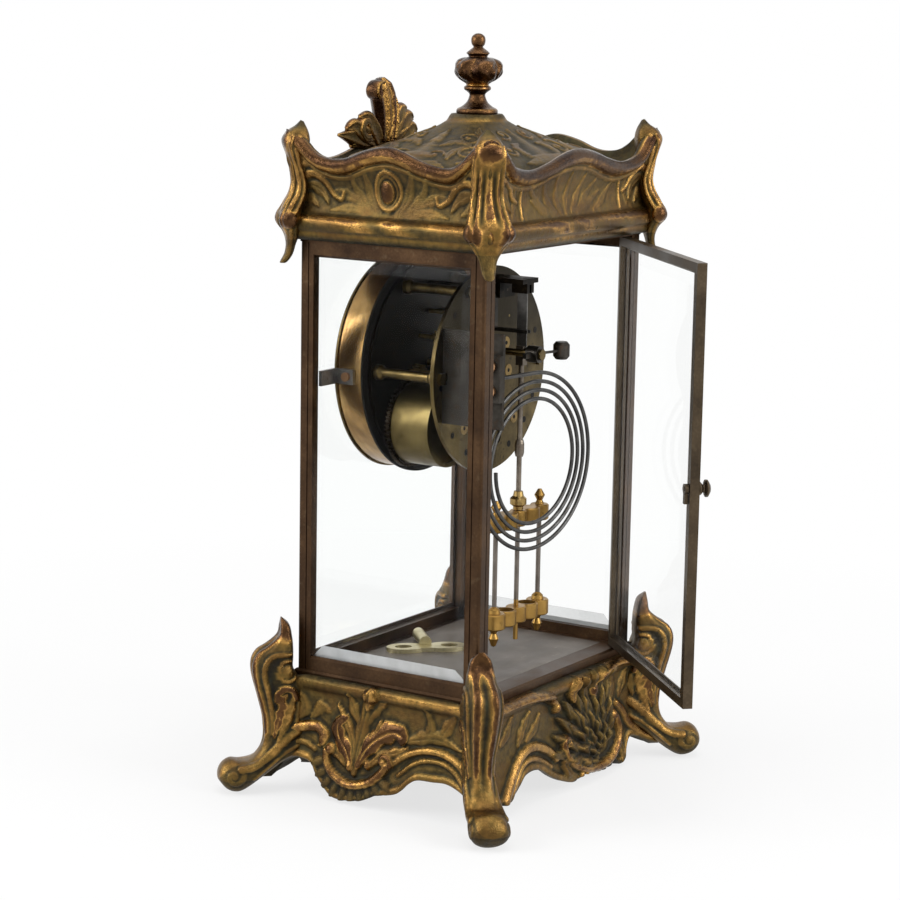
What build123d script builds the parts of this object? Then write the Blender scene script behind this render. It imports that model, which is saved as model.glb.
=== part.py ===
"""Mantel clock of the glazed four-pillar kind, standing on cast scroll legs.

Frame: +Z up, origin on the standing plane under the middle of the case. The dial
looks along -Y and the glazed door closes the back at +Y. It is drawn at rest as it
stands in use for setting: door open, pendulum hanging plumb. Millimetres throughout.
"""
from build123d import *
from math import atan2, cos, degrees, hypot, pi, radians, sin, sqrt
import os

os.makedirs("parts", exist_ok=True)

# Driving dimensions of the case
CASE_W = 184.0  # width over the corner posts
CASE_D = 133.0  # depth over the corner posts
BASE_TOP = 72.5  # top of the leg casting
HEIGHT = 470.0  # overall height to the finial's ball
FINIAL_H = 49.0  # finial above the dome
DOME_RISE = 75.0  # seat of the finial above the glazed case
POST_X = 11.0
POST_Y = 10.0
SILL_H = 5.5
SILL_OUT = 1.5  # the sill's projection past the posts
RAIL_H = 9.0
HEAD_T = 1.5  # top plate of the case frame
LIP = 2.5  # frame metal left in front of a pane
REBATE = 2.2  # overlap of the frame on a pane
PANE_T = 3.5
PANE_EDGE_T = 2.0  # thickness left at the rim of a bevelled pane
BEVEL_W = 9.5

# Driving dimensions of the door
DOOR_T = 6.0
DOOR_RAIL = 7.5
DOOR_GAP = 0.6
DOOR_OPEN = 46.0  # opening at rest, degrees
KNOB_Z = 211.0

# Driving dimensions of the movement
DIAL_CLEAR = 4.5  # dial drum below the head rail
DIAL_SET = 11.0  # mouth of the dial drum behind the front of the case
DRUM_R = 67.5
DRUM_L = 20.5  # from the drum's mouth to the front plate
PLATE_SPAN = 48.5  # over the outer faces of the two plates
PLATE_T = 2.5
BARREL_X = 29.0
BARREL_DROP = 34.0  # barrel centres below the dial centre
BARREL_R = 25.5
VERGE_RISE = 50.5  # verge and suspension axis above the dial centre
PEND_BACK = 22.5  # plane of the pendulum behind the back plate
GONG_BACK = 36.5  # middle of the gong behind the back plate
GONG_DROP = 55.2  # middle of the gong below the dial centre
GONG_X = 5.0
GONG_LEAN = 7.5  # turn of the gong's plane about a vertical line, degrees
GONG_R = 55.2
GONG_TURNS = 3
GONG_WIRE = 2.5
GONG_PITCH = 5.4

# Clearances
FIT = 0.06  # radial running clearance of a pivot
SHAKE = 0.3  # end shake of an arbor
SEAT = 0.2  # side clearance of a pane in its rebate
FREE = 0.6  # clearance of parts that pass each other

# Worked out from the driving dimensions
HX, HY = CASE_W / 2, CASE_D / 2
DOME_TOP = HEIGHT - FINIAL_H
CASE_TOP = DOME_TOP - DOME_RISE
SILL_TOP = BASE_TOP + SILL_H
HEAD_BOT = CASE_TOP - HEAD_T
POST_IN_X, POST_IN_Y = HX - POST_X, HY - POST_Y
RAIL_TOP = SILL_TOP + RAIL_H
HEAD_RAIL = HEAD_BOT - RAIL_H
GLASS_X, GLASS_Y = HX - LIP, HY - LIP  # outer faces of the panes
DIAL_Z = HEAD_RAIL - DIAL_CLEAR - DRUM_R
DRUM_FRONT = DIAL_SET - HY
PLATE_R = DRUM_R - 3.0
PLATE_F = DRUM_FRONT + DRUM_L  # outer face of the front plate
PLATE_B = PLATE_F + PLATE_SPAN  # outer face of the back plate
PEND_Y = PLATE_B + PEND_BACK
GONG_Y = PLATE_B + GONG_BACK
GONG_Z = DIAL_Z - GONG_DROP
INSIDE_F = PLATE_F + PLATE_T
INSIDE_B = PLATE_B - PLATE_T
VERGE_Z = DIAL_Z + VERGE_RISE
DOOR_HALF = POST_IN_X - DOOR_GAP
DOOR_Y1 = HY - 0.5
DOOR_Y0 = DOOR_Y1 - DOOR_T
HINGE_X = DOOR_T / 2 - DOOR_HALF
HINGE_Y = (DOOR_Y0 + DOOR_Y1) / 2
DOOR_Z0, DOOR_Z1 = SILL_TOP + DOOR_GAP, HEAD_BOT - DOOR_GAP


def block(x0, x1, y0, y1, z0, z1):
    """Box between two opposite corners."""
    return Pos((x0 + x1) / 2, (y0 + y1) / 2, (z0 + z1) / 2) * Box(x1 - x0, y1 - y0, z1 - z0)


def rod_x(y, z, r, x0, x1):
    return Pos((x0 + x1) / 2, y, z) * Rot(0, 90, 0) * Cylinder(r, x1 - x0)


def rod_y(x, z, r, y0, y1):
    return Pos(x, (y0 + y1) / 2, z) * Rot(90, 0, 0) * Cylinder(r, y1 - y0)


def rod_z(x, y, r, z0, z1):
    return Pos(x, y, (z0 + z1) / 2) * Cylinder(r, z1 - z0)


def slab_x(face, x0, x1):
    """Outline drawn in (Y, Z), thickened along X."""
    return extrude(Plane((x0, 0, 0), x_dir=(0, 1, 0), z_dir=(1, 0, 0)) * face, amount=x1 - x0)


def slab_y(face, y0, y1):
    """Outline drawn in (X, Z), thickened along Y."""
    return extrude(Plane((0, y1, 0), x_dir=(1, 0, 0), z_dir=(0, -1, 0)) * face, amount=y1 - y0)


def poly(*points):
    return make_face(Polyline(*points, close=True))


def turned_z(points, x=0.0, y=0.0):
    """Turned piece about a vertical axis, from (radius, height) points."""
    face = make_face(Plane.XZ * Polyline(*points, close=True))
    return Pos(x, y, 0) * revolve(face, Axis.Z)


def turned_y(points, x, z):
    """Turned piece about an axis along Y, from (radius, y) points."""
    face = make_face(Polyline(*points, close=True))
    return Pos(x, 0, z) * revolve(face, Axis.Y)


def around(shape_of, spots):
    """The same piece at several places, as one group."""
    return Part() + [shape_of(*spot) for spot in spots]


def save(shape, node):
    export_step(shape, f"parts/{node}.step")


# Corner posts: moulded bars with a rounded arris, a quirk on each outer face and
# a rebate on the inside for each pane that they hold
ARRIS = 2.0
QUIRK = 0.7


def corner_post(front):
    bar = block(POST_IN_X, HX, POST_IN_Y, HY, SILL_TOP, HEAD_BOT)
    bar = fillet(bar.edges().filter_by(Axis.Z).sort_by(Axis.X)[-2:].sort_by(Axis.Y)[-1:], ARRIS)
    quirk_x = POST_IN_X + POST_X / 3
    quirk_y = POST_IN_Y + POST_Y / 3
    bar -= block(quirk_x, quirk_x + QUIRK, HY - QUIRK, HY + 1, SILL_TOP, HEAD_BOT)
    bar -= block(HX - QUIRK, HX + 1, quirk_y, quirk_y + QUIRK, SILL_TOP, HEAD_BOT)
    bar -= block(POST_IN_X, GLASS_X, POST_IN_Y, POST_IN_Y + REBATE, SILL_TOP, HEAD_BOT)
    if front:
        bar -= block(POST_IN_X, POST_IN_X + REBATE, POST_IN_Y, GLASS_Y, SILL_TOP, HEAD_BOT)
    return bar


CATCH_REACH = 9.0
CATCH_T = 2.2
rear_post = corner_post(False)
KNOB_X = DOOR_HALF - DOOR_RAIL / 2
KEEPER_Y = DOOR_Y0 - CATCH_T - 2 * FREE
KEEPER_H = 4.0
keeper_z = (KNOB_Z - KEEPER_H, KNOB_Z + KEEPER_H)
keeper = block(POST_IN_X - 1, KNOB_X + CATCH_REACH + FREE, KEEPER_Y, DOOR_Y0, *keeper_z)
save(rear_post - keeper, "post_rear_left")
save(mirror(rear_post, Plane.YZ), "post_rear_right")
front_post = mirror(corner_post(True), Plane.XZ)
save(front_post, "post_front_left")
save(mirror(front_post, Plane.YZ), "post_front_right")

# Lower frame: a sill round the case with a rail on three sides to take the panes
PIN_R = 1.3
RAIL_T = 8.5
RAIL_CHAMFER = 1.5
FLOOR_LEDGE = 4.0
FLOOR_T = 3.0


def rail_outline(out, z0, z1, up):
    """Section of a rail: outer face, chamfer and the rebate that the pane sits in."""
    s = 1 if up else -1
    seat = z1 - s * REBATE
    return [
        (out - RAIL_T, z0),
        (out, z0),
        (out, z1 - s * RAIL_CHAMFER),
        (out - RAIL_CHAMFER, z1),
        (out - LIP, z1),
        (out - LIP, seat),
        (out - RAIL_T, seat),
    ]


def three_rails(z0, z1, up):
    side = slab_y(poly(*rail_outline(HX, z0, z1, up)), -POST_IN_Y, POST_IN_Y)
    front = mirror(slab_x(poly(*rail_outline(HY, z0, z1, up)), -POST_IN_X, POST_IN_X), Plane.XZ)
    return side + mirror(side, Plane.YZ) + front


SILL_IN = 13.0
sill = block(-HX - SILL_OUT, HX + SILL_OUT, -HY - SILL_OUT, HY + SILL_OUT, BASE_TOP, SILL_TOP)
sill = chamfer(sill.edges().group_by(Axis.Z)[-1], 0.8 * SILL_OUT)
floor_x, floor_y = HX - SILL_IN, HY - SILL_IN
sill -= block(-floor_x, floor_x, -floor_y, floor_y, BASE_TOP + SILL_H - FLOOR_T, SILL_TOP)
well_x, well_y = floor_x - FLOOR_LEDGE, floor_y - FLOOR_LEDGE
sill -= block(-well_x, well_x, -well_y, well_y, BASE_TOP, SILL_TOP)
lower_frame = sill + three_rails(SILL_TOP, RAIL_TOP, True)
lower_frame -= rod_z(HINGE_X, HINGE_Y, PIN_R + FIT, BASE_TOP, SILL_TOP + 1)
save(lower_frame, "lower_frame")
FLOOR_TOP = SILL_TOP
floor = block(SEAT - floor_x, floor_x - SEAT, SEAT - floor_y, floor_y - SEAT, FLOOR_TOP - FLOOR_T, FLOOR_TOP)
save(floor, "floor_plate")

# Upper frame: the head plate that closes the case, with a rail on three sides
head = block(-HX, HX, -HY, HY, HEAD_BOT, CASE_TOP)
head += three_rails(HEAD_BOT, HEAD_RAIL, False)
head -= rod_z(HINGE_X, HINGE_Y, PIN_R + FIT, HEAD_BOT - 1, CASE_TOP)
STUD_R = 2.0
head -= rod_z(0, 0, STUD_R + 0.5, HEAD_BOT - 1, CASE_TOP)
save(head, "upper_frame")


def pane(width, height):
    """Bevelled pane lying on the XY plane, bevel side up."""
    body = extrude(Rectangle(width, height), amount=PANE_EDGE_T)
    low = Plane.XY.offset(PANE_EDGE_T) * Rectangle(width, height)
    high = Plane.XY.offset(PANE_T) * Rectangle(width - 2 * BEVEL_W, height - 2 * BEVEL_W)
    return body + loft([low, high], ruled=True)


PANE_Z0 = RAIL_TOP - REBATE
PANE_Z1 = HEAD_RAIL + REBATE
pane_h = PANE_Z1 - PANE_Z0 - SEAT
pane_mid = (PANE_Z0 + PANE_Z1 - SEAT) / 2
front_pane = Rot(90, 0, 0) * pane(2 * (POST_IN_X + REBATE - SEAT), pane_h)
front_pane = Pos(0, PANE_T - GLASS_Y, pane_mid) * front_pane
save(front_pane, "front_glass")
side_pane = Rot(0, 0, 90) * Rot(90, 0, 0) * pane(2 * (POST_IN_Y + REBATE - SEAT), pane_h)
side_pane = Pos(GLASS_X - PANE_T, 0, pane_mid) * side_pane
save(side_pane, "left_glass")
save(mirror(side_pane, Plane.YZ), "right_glass")

# Door, drawn closed and then turned open about its hinge pins
DOOR_LIP = 2.2
DOOR_REBATE = 2.0


def opened(shape):
    return Pos(HINGE_X, HINGE_Y, 0) * Rot(0, 0, DOOR_OPEN) * Pos(-HINGE_X, -HINGE_Y, 0) * shape


door = block(HINGE_X, DOOR_HALF, DOOR_Y0, DOOR_Y1, DOOR_Z0, DOOR_Z1)
door += rod_z(HINGE_X, HINGE_Y, DOOR_T / 2, DOOR_Z0, DOOR_Z1)
light_x = DOOR_HALF - DOOR_RAIL
light_z0, light_z1 = DOOR_Z0 + DOOR_RAIL, DOOR_Z1 - DOOR_RAIL
door -= block(-light_x, light_x, DOOR_Y0 - 1, DOOR_Y1 + 1, light_z0, light_z1)
bed_x, bed_z0, bed_z1 = light_x + DOOR_REBATE, light_z0 - DOOR_REBATE, light_z1 + DOOR_REBATE
door -= block(-bed_x, bed_x, DOOR_Y0 - 1, DOOR_Y1 - DOOR_LIP, bed_z0, bed_z1)
slope = 1.4
wide = Plane((0, DOOR_Y1, 0), x_dir=(1, 0, 0), z_dir=(0, -1, 0))
mid_z = (light_z0 + light_z1) / 2
outer = wide * Pos(0, mid_z) * Rectangle(2 * (light_x + slope), light_z1 - light_z0 + 2 * slope)
inner = wide.offset(slope) * Pos(0, mid_z) * Rectangle(2 * light_x, light_z1 - light_z0)
door -= loft([outer, inner], ruled=True)
SPINDLE_R = 1.5
door -= rod_y(KNOB_X, KNOB_Z, SPINDLE_R + FIT, DOOR_Y0 - 1, DOOR_Y1 + 1)
PIN_DEPTH = 6.0
pin_reach = DOOR_GAP + HEAD_T - 0.1
door -= rod_z(HINGE_X, HINGE_Y, PIN_R, DOOR_Z0, DOOR_Z0 + PIN_DEPTH)
door -= rod_z(HINGE_X, HINGE_Y, PIN_R, DOOR_Z1 - PIN_DEPTH, DOOR_Z1)
save(opened(door), "door_frame")
pins = rod_z(HINGE_X, HINGE_Y, PIN_R, DOOR_Z0 - DOOR_GAP - SILL_H / 2, DOOR_Z0 + PIN_DEPTH)
pins += rod_z(HINGE_X, HINGE_Y, PIN_R, DOOR_Z1 - PIN_DEPTH, DOOR_Z1 + pin_reach)
save(opened(pins), "hinge_pins")
door_pane = Rot(180, 0, 0) * Rot(90, 0, 0) * pane(2 * (bed_x - SEAT), bed_z1 - bed_z0 - 2 * SEAT)
door_pane = Pos(0, DOOR_Y1 - DOOR_LIP - PANE_T, mid_z) * door_pane
save(opened(door_pane), "door_glass")
KNOB_R = 5.2
KNOB_L = 7.0
knob = turned_y(
    [
        (0, DOOR_Y0 - CATCH_T - FREE),
        (SPINDLE_R, DOOR_Y0 - CATCH_T - FREE),
        (SPINDLE_R, DOOR_Y1 + SHAKE),
        (KNOB_R * 0.75, DOOR_Y1 + SHAKE),
        (KNOB_R * 0.75, DOOR_Y1 + KNOB_L * 0.2),
        (KNOB_R * 0.45, DOOR_Y1 + KNOB_L * 0.4),
        (KNOB_R * 0.5, DOOR_Y1 + KNOB_L * 0.5),
        (KNOB_R, DOOR_Y1 + KNOB_L * 0.65),
        (KNOB_R, DOOR_Y1 + KNOB_L * 0.8),
        (KNOB_R * 0.6, DOOR_Y1 + KNOB_L),
        (0, DOOR_Y1 + KNOB_L),
    ],
    KNOB_X,
    KNOB_Z,
)
catch_y1 = DOOR_Y0 - SHAKE
catch = rod_y(KNOB_X, KNOB_Z, 3.0, catch_y1 - CATCH_T, catch_y1)
catch += block(KNOB_X - 1.5, KNOB_X + 1.5, catch_y1 - CATCH_T, catch_y1, KNOB_Z - CATCH_REACH, KNOB_Z)
save(opened(knob + catch), "door_knob")


def moulding(points):
    """Section swept round the case with mitred corners, from (projection, z) points.

    A point marked with a third value is the middle of an arc to the next point.
    """
    lines = []
    here = points[0]
    pending = None
    for there in points[1:] + points[:1]:
        if len(there) == 3:
            pending = there
            continue
        a, b = (0, -HY - here[0], here[1]), (0, -HY - there[0], there[1])
        if pending:
            lines.append(ThreePointArc(a, (0, -HY - pending[0], pending[1]), b))
        else:
            lines.append(Line(a, b))
        here, pending = there, None
    round_case = Polyline((0, -HY), (HX, -HY), (HX, HY), (-HX, HY), (-HX, -HY), (0, -HY))
    return sweep(make_face(Wire(lines)), path=Wire(round_case.edges()), transition=Transition.RIGHT)


def limb(stations):
    """Cast limb in the diagonal plane of the front left corner.

    Each station is (distance out from the case corner, z, slope of the axis from
    the vertical in degrees, half depth, half width).
    """
    sections = []
    for out, z, lean, depth, width in stations:
        at = Plane((out, 0, z), x_dir=(cos(radians(lean)), 0, -sin(radians(lean))),
                   z_dir=(sin(radians(lean)), 0, cos(radians(lean))))
        sections.append(at * Ellipse(depth, width))
    return loft(sections)


def to_corner(shape):
    return Pos(HX, HY, 0) * Rot(0, 0, 45) * shape


def four_corners(shape):
    quarter = to_corner(shape)
    half = [quarter, mirror(quarter, Plane.XZ)]
    return half + [mirror(s, Plane.YZ) for s in half]


# Leg casting: a moulded apron with shaped lower edges, four scroll legs whose leaf
# tips stand up against the posts, and a shell scroll low on each side
apron = moulding([
    (-5.0, BASE_TOP), (4.0, BASE_TOP), (7.5, BASE_TOP - 4.0, "arc"), (4.5, BASE_TOP - 8.5),
    (2.5, BASE_TOP - 12.0), (4.0, 34.0, "arc"), (9.0, 2.0), (3.5, 2.0), (-2.0, 34.0, "arc"),
    (-3.0, BASE_TOP - 10.0), (-5.0, BASE_TOP - 8.0),
])
APRON_OUT = 20.0
APRON_IN = 14.0


def arch(half, low, high):
    """Waste under an apron: a shell drop hangs between two places, with an arch on each side."""
    span = high - low
    edge = [
        (-half - 12, 0.0), (-half + 4, 20.0), (low - 5, ARCH_Z), (low + 2, 12.0),
        (low + 0.3 * span, DROP_Z), (low + 0.58 * span, DROP_Z + 2), (low + 0.8 * span, 11.5),
        (high + 6, ARCH_Z), ((high + half) / 2 + 4, ARCH_Z + 1), (half - 4, 20.0), (half + 12, 0.0),
    ]
    line = Spline(*edge)
    return make_face([line, Polyline(edge[-1], (half + 12, -6), (-half - 12, -6), edge[0])])


ARCH_Z = 23.0
DROP_Z = 3.0
SIDE_DROP = (-47.0, 22.0)
REAR_DROP = (-74.0, 14.0)
waste = [
    slab_x(arch(HY, *SIDE_DROP), HX - APRON_IN, HX + APRON_OUT),
    Rot(0, 0, 180) * slab_x(arch(HY, *SIDE_DROP), HX - APRON_IN, HX + APRON_OUT),
    slab_y(arch(HX, *REAR_DROP), HY - APRON_IN, HY + APRON_OUT),
    Rot(0, 0, 180) * slab_y(arch(HX, *REAR_DROP), HY - APRON_IN, HY + APRON_OUT),
]
SCROLL_R = 24.0
SCROLL_T = 3.2
SCROLL_OUT = 7.0


def c_scroll():
    """Smile-shaped scroll with rolled ends, drawn in XZ about the origin."""
    ends = [(SCROLL_R * sin(a), 0, -SCROLL_R * cos(a)) for a in (radians(-68), 0.0, radians(68))]
    path = ThreePointArc(*ends)
    horn = Plane(ends[0], z_dir=path % 0) * Circle(SCROLL_T)
    return sweep(horn, path=path) + [Pos(*e) * Sphere(SCROLL_T * 1.35) for e in (ends[0], ends[2])]


SCROLL_Z = 37.0
SIDE_SCROLL = -17.0
REAR_SCROLL = -34.0
side_scroll = Pos(HX + SCROLL_OUT, SIDE_SCROLL, SCROLL_Z) * Rot(0, 0, 90) * c_scroll()
rear_scroll = Pos(REAR_SCROLL, HY + SCROLL_OUT, SCROLL_Z) * c_scroll()
scrolls = [side_scroll, rear_scroll, Rot(0, 0, 180) * side_scroll, Rot(0, 0, 180) * rear_scroll]
FOOT_OUT = 29.0
TOE_OUT = 34.0
leg = limb([
    (8.6, 110.5, 35, 0.9, 1.2), (7.0, 104.0, 5, 3.2, 4.0), (8.0, 97.0, -12, 6.3, 6.0),
    (12.5, 87.0, -16, 10.5, 8.0), (14.5, 77.0, 0, 12.0, 8.5), (12.5, 62.0, 10, 10.5, 8.0),
    (9.0, 45.0, 8, 8.5, 7.5), (9.5, 30.0, -16, 8.5, 8.0), (16.5, 17.0, -45, 9.0, 9.0),
    (FOOT_OUT - 2, 10.0, -80, 9.4, 9.5), (TOE_OUT, 11.5, -100, 9.5, 9.0),
])
toe = Pos(TOE_OUT, 0, 12.0) * Rot(90, 0, 0) * Cylinder(9.8, 20.0)
toe = fillet(toe.edges().filter_by(GeomType.CIRCLE), 4.0)
pad = rod_z(FOOT_OUT, 0, 6.0, 0, 8.0)
base = apron - waste
base += four_corners(leg + toe + pad) + scrolls
ROOM = 0.4
base -= block(-300, 300, -300, 300, -40, 0)
base -= block(-HX - SILL_OUT - ROOM, HX + SILL_OUT + ROOM, -HY - SILL_OUT - ROOM, HY + SILL_OUT + ROOM,
              BASE_TOP, 150)
save(base, "base_casting")

# Top casting: ovolo below, hollowed frieze, waved rim, leaf horns at the corners
RIM_TOP = CASE_TOP + 59.0
RIM_T = 3.0
LEDGE_Z = CASE_TOP + 40.0
cornice = moulding([
    (-8.0, CASE_TOP), (4.0, CASE_TOP), (9.8, CASE_TOP + 7.5, "arc"), (6.0, CASE_TOP + 15.5),
    (3.8, CASE_TOP + 16.5), (1.2, LEDGE_Z - 11.0, "arc"), (6.5, LEDGE_Z + 4.0),
    (7.4, LEDGE_Z + 8.0, "arc"), (6.0, RIM_TOP + 2.0), (6.0 - RIM_T, RIM_TOP + 2.0),
    (6.0 - RIM_T, LEDGE_Z + 6.0), (-5.0, LEDGE_Z + 3.0), (-5.0, LEDGE_Z), (-10.0, LEDGE_Z),
    (-10.0, LEDGE_Z - 3.0), (-4.0, LEDGE_Z - 7.0), (-4.0, CASE_TOP + 20.0), (-1.0, CASE_TOP + 12.0),
    (-1.0, CASE_TOP + 5.0), (-8.0, CASE_TOP + 3.0),
])


def wave(half):
    """Waste above a waved rim: low beside the corners, high in the middle."""
    edge = [
        (-half - 12, RIM_TOP + 2), (-half, RIM_TOP - 5), (-half + 22, RIM_TOP - 12.5), (-half / 3, RIM_TOP - 6),
        (0, RIM_TOP - 1),
        (half / 3, RIM_TOP - 6), (half - 22, RIM_TOP - 12.5), (half, RIM_TOP - 5), (half + 12, RIM_TOP + 2),
    ]
    line = Spline(*edge)
    return make_face([line, Polyline(edge[-1], (half + 12, RIM_TOP + 25), (-half - 12, RIM_TOP + 25), edge[0])])


for s in (-1, 1):
    x_band = sorted((s * (HX - 8), s * (HX + 12)))
    y_band = sorted((s * (HY - 8), s * (HY + 12)))
    cornice -= slab_x(wave(HY), *x_band)
    cornice -= slab_y(wave(HX), *y_band)
horn = limb([
    (2.0, CASE_TOP + 70.0, -28, 0.8, 1.2), (5.0, CASE_TOP + 63.0, -22, 3.0, 4.5),
    (6.6, CASE_TOP + 55.0, -4, 4.8, 6.5), (3.6, CASE_TOP + 44.0, 20, 4.8, 6.5),
    (1.0, CASE_TOP + 31.0, 4, 3.8, 5.0), (4.0, CASE_TOP + 20.0, -20, 5.0, 7.5),
    (7.4, CASE_TOP + 9.0, -4, 6.4, 9.5), (6.6, CASE_TOP, 12, 4.4, 6.0),
    (6.0, CASE_TOP - 7.0, -8, 2.8, 3.6), (9.4, CASE_TOP - 13.5, -40, 1.2, 1.8),
])
top = cornice + four_corners(horn)
top -= block(-HX - 1, HX + 1, -HY - 1, HY + 1, CASE_TOP - 40, CASE_TOP)
save(top, "top_casting")

# Dome: a square bell, hollow, seated on the ledge inside the rim
SKIN = 4.0
dome_rise = DOME_TOP - LEDGE_Z
dome_spans = [(0.0, 1.0), (0.23, 0.9), (0.485, 0.62), (0.745, 0.34), (1.0, 0.17)]
dome_x, dome_y = HX - 5.0 - SEAT, HY - 5.0 - SEAT


def bell(less, drop):
    sections = []
    for up, part in dome_spans:
        w, d = 2 * (dome_x * part - less), 2 * (max(dome_y * part, 15.0) - less)
        at = Plane.XY.offset(LEDGE_Z + up * dome_rise - drop)
        sections.append(at * RectangleRounded(w, d, 0.35 * min(w, d)))
    return loft(sections)


dome = bell(0.0, 0.0) - bell(SKIN, SKIN)
dome -= block(-300, 300, -300, 300, LEDGE_Z - 60, LEDGE_Z)
dome -= rod_z(0, 0, STUD_R + 0.3, LEDGE_Z, DOME_TOP + 1)
save(dome, "dome")

# Finial: turned urn with its stud, held down through the dome and the head plate
URN_R = 14.7
BALL_R = 4.4
rise = FINIAL_H
ball_turn = radians(36)
ball_low = (BALL_R * sin(ball_turn), HEIGHT - BALL_R - BALL_R * cos(ball_turn))
foot_line = Polyline(
    (0, DOME_TOP),
    (12.5, DOME_TOP),
    (12.5, DOME_TOP + 0.06 * rise),
    (6.0, DOME_TOP + 0.16 * rise),
    (4.6, DOME_TOP + 0.25 * rise),
    (8.2, DOME_TOP + 0.30 * rise),
    (8.2, DOME_TOP + 0.34 * rise),
)
bulb = ThreePointArc(foot_line @ 1, (URN_R, DOME_TOP + 0.53 * rise), (6.2, DOME_TOP + 0.72 * rise))
neck = Polyline(bulb @ 1, (7.2, DOME_TOP + 0.75 * rise), (3.2, ball_low[1] - 1.0), ball_low)
ball = ThreePointArc(ball_low, (BALL_R, HEIGHT - BALL_R), (0, HEIGHT))
urn = revolve(Plane.XZ * make_face([foot_line, bulb, neck, ball, Line(ball @ 1, foot_line @ 0)]), Axis.Z)
STUD_END = HEAD_BOT - 6.0
urn += rod_z(0, 0, STUD_R, STUD_END, DOME_TOP)
save(urn, "finial")
nut_z1 = HEAD_BOT
nut = extrude(Pos(0, 0, nut_z1 - 3.5) * RegularPolygon(4.5, 6), amount=3.5)
nut -= rod_z(0, 0, STUD_R, nut_z1 - 5, nut_z1 + 1)
save(nut, "finial_nut")

# Front crest: plume over curled leaves, standing on the front rim
CREST_T = 7.0
crest_y = -HY - 4.5
crest_z = CASE_TOP + 59.0
plume_line = Spline((-13, 14), (-12, 23), (-6, 32), (1, 36), (8, 36), (13, 31), (13, 25), (9, 18))
plume = make_face([plume_line, Polyline(plume_line @ 1, (9, -4), (-13, -4), plume_line @ 0)])
left_leaf = Pos(20, 6) * Circle(8) + Pos(34, 1) * Rot(0, 0, -8) * Ellipse(14, 3.6)
right_leaf = Pos(-22, 4) * Rot(0, 0, 35) * Ellipse(14, 10)
outline = plume + left_leaf + right_leaf + Pos(0, -4) * Ellipse(30, 9)
crest = slab_y(Pos(0, crest_z) * outline, crest_y - CREST_T / 2, crest_y + CREST_T / 2)
crest -= cornice
save(crest.solids().sort_by(SortBy.VOLUME)[-1], "front_crest")

# Movement plates and the pillars between them
PILLAR_AT = PLATE_R - 7.5
pillar_spots = [
    (PILLAR_AT * cos(radians(a)), DIAL_Z + PILLAR_AT * sin(radians(a))) for a in (0, 62, 118, 180, 270)
]
PILLAR_R = 3.2
COLLAR_R = 4.8
TENON_R = 2.0
PIVOT_R = 0.8
ARBOR_R = 1.5


def gear_sum(mod, *teeth):
    return mod * sum(teeth) / 2


# Tooth counts and modules: barrel to second arbor, second to centre, and so on
GREAT, SECOND_P, GREAT_MOD = 64, 10, 0.855
SECOND, CENTRE_P, SECOND_MOD = 40, 8, 0.9
CENTRE, THIRD_P, CENTRE_MOD = 40, 8, 0.88
THIRD, ESCAPE_P, THIRD_MOD = 36, 8, 0.84
PINS, WARN_P, PIN_MOD = 32, 8, 0.9
WARN, FLY_P, WARN_MOD = 32, 8, 0.86
ESCAPE, ESCAPE_R = 24, 12.0


def meet(a, ra, b, rb, left):
    """Point at distance ra from a and rb from b, on the chosen side of the line a to b."""
    dx, dz = b[0] - a[0], b[1] - a[1]
    span = hypot(dx, dz)
    along = (span * span + ra * ra - rb * rb) / (2 * span)
    off = sqrt(ra * ra - along * along) * (1 if left else -1)
    ux, uz = dx / span, dz / span
    return a[0] + along * ux - off * uz, a[1] + along * uz + off * ux


def step(a, r, angle):
    return a[0] + r * cos(radians(angle)), a[1] + r * sin(radians(angle))


CENTRE_AT = (0.0, DIAL_Z)
TIME_AT = (BARREL_X, DIAL_Z - BARREL_DROP)
STRIKE_AT = (-BARREL_X, DIAL_Z - BARREL_DROP)
first_span = gear_sum(GREAT_MOD, GREAT, SECOND_P)
second_span = gear_sum(SECOND_MOD, SECOND, CENTRE_P)
SECOND_AT = meet(CENTRE_AT, second_span, TIME_AT, first_span, True)
PIN_AT = (-SECOND_AT[0], SECOND_AT[1])
THIRD_AT = step(CENTRE_AT, gear_sum(CENTRE_MOD, CENTRE, THIRD_P), 58)
third_span = gear_sum(THIRD_MOD, THIRD, ESCAPE_P)
ESCAPE_AT = (0.0, THIRD_AT[1] + sqrt(third_span**2 - THIRD_AT[0] ** 2))
VERGE_AT = (0.0, VERGE_Z)
WARN_AT = step(PIN_AT, gear_sum(PIN_MOD, PINS, WARN_P), 80)
FLY_AT = step(WARN_AT, gear_sum(WARN_MOD, WARN, FLY_P), 100)
BARREL_BORE = 3.0
HAMMER_AT = (9.0, DIAL_Z + 13.5)
CENTRE_R = 2.2

holes = [SECOND_AT, PIN_AT, THIRD_AT, ESCAPE_AT, WARN_AT, FLY_AT]


def round_plate(y0, y1, verge_r):
    plate = rod_y(0, DIAL_Z, PLATE_R, y0, y1)
    plate -= [rod_y(x, z, PIVOT_R + FIT, y0 - 1, y1 + 1) for x, z in holes]
    plate -= [rod_y(x, z, TENON_R, y0 - 1, y1 + 1) for x, z in pillar_spots]
    plate -= rod_y(*VERGE_AT, verge_r, y0 - 1, y1 + 1)
    return plate


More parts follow.
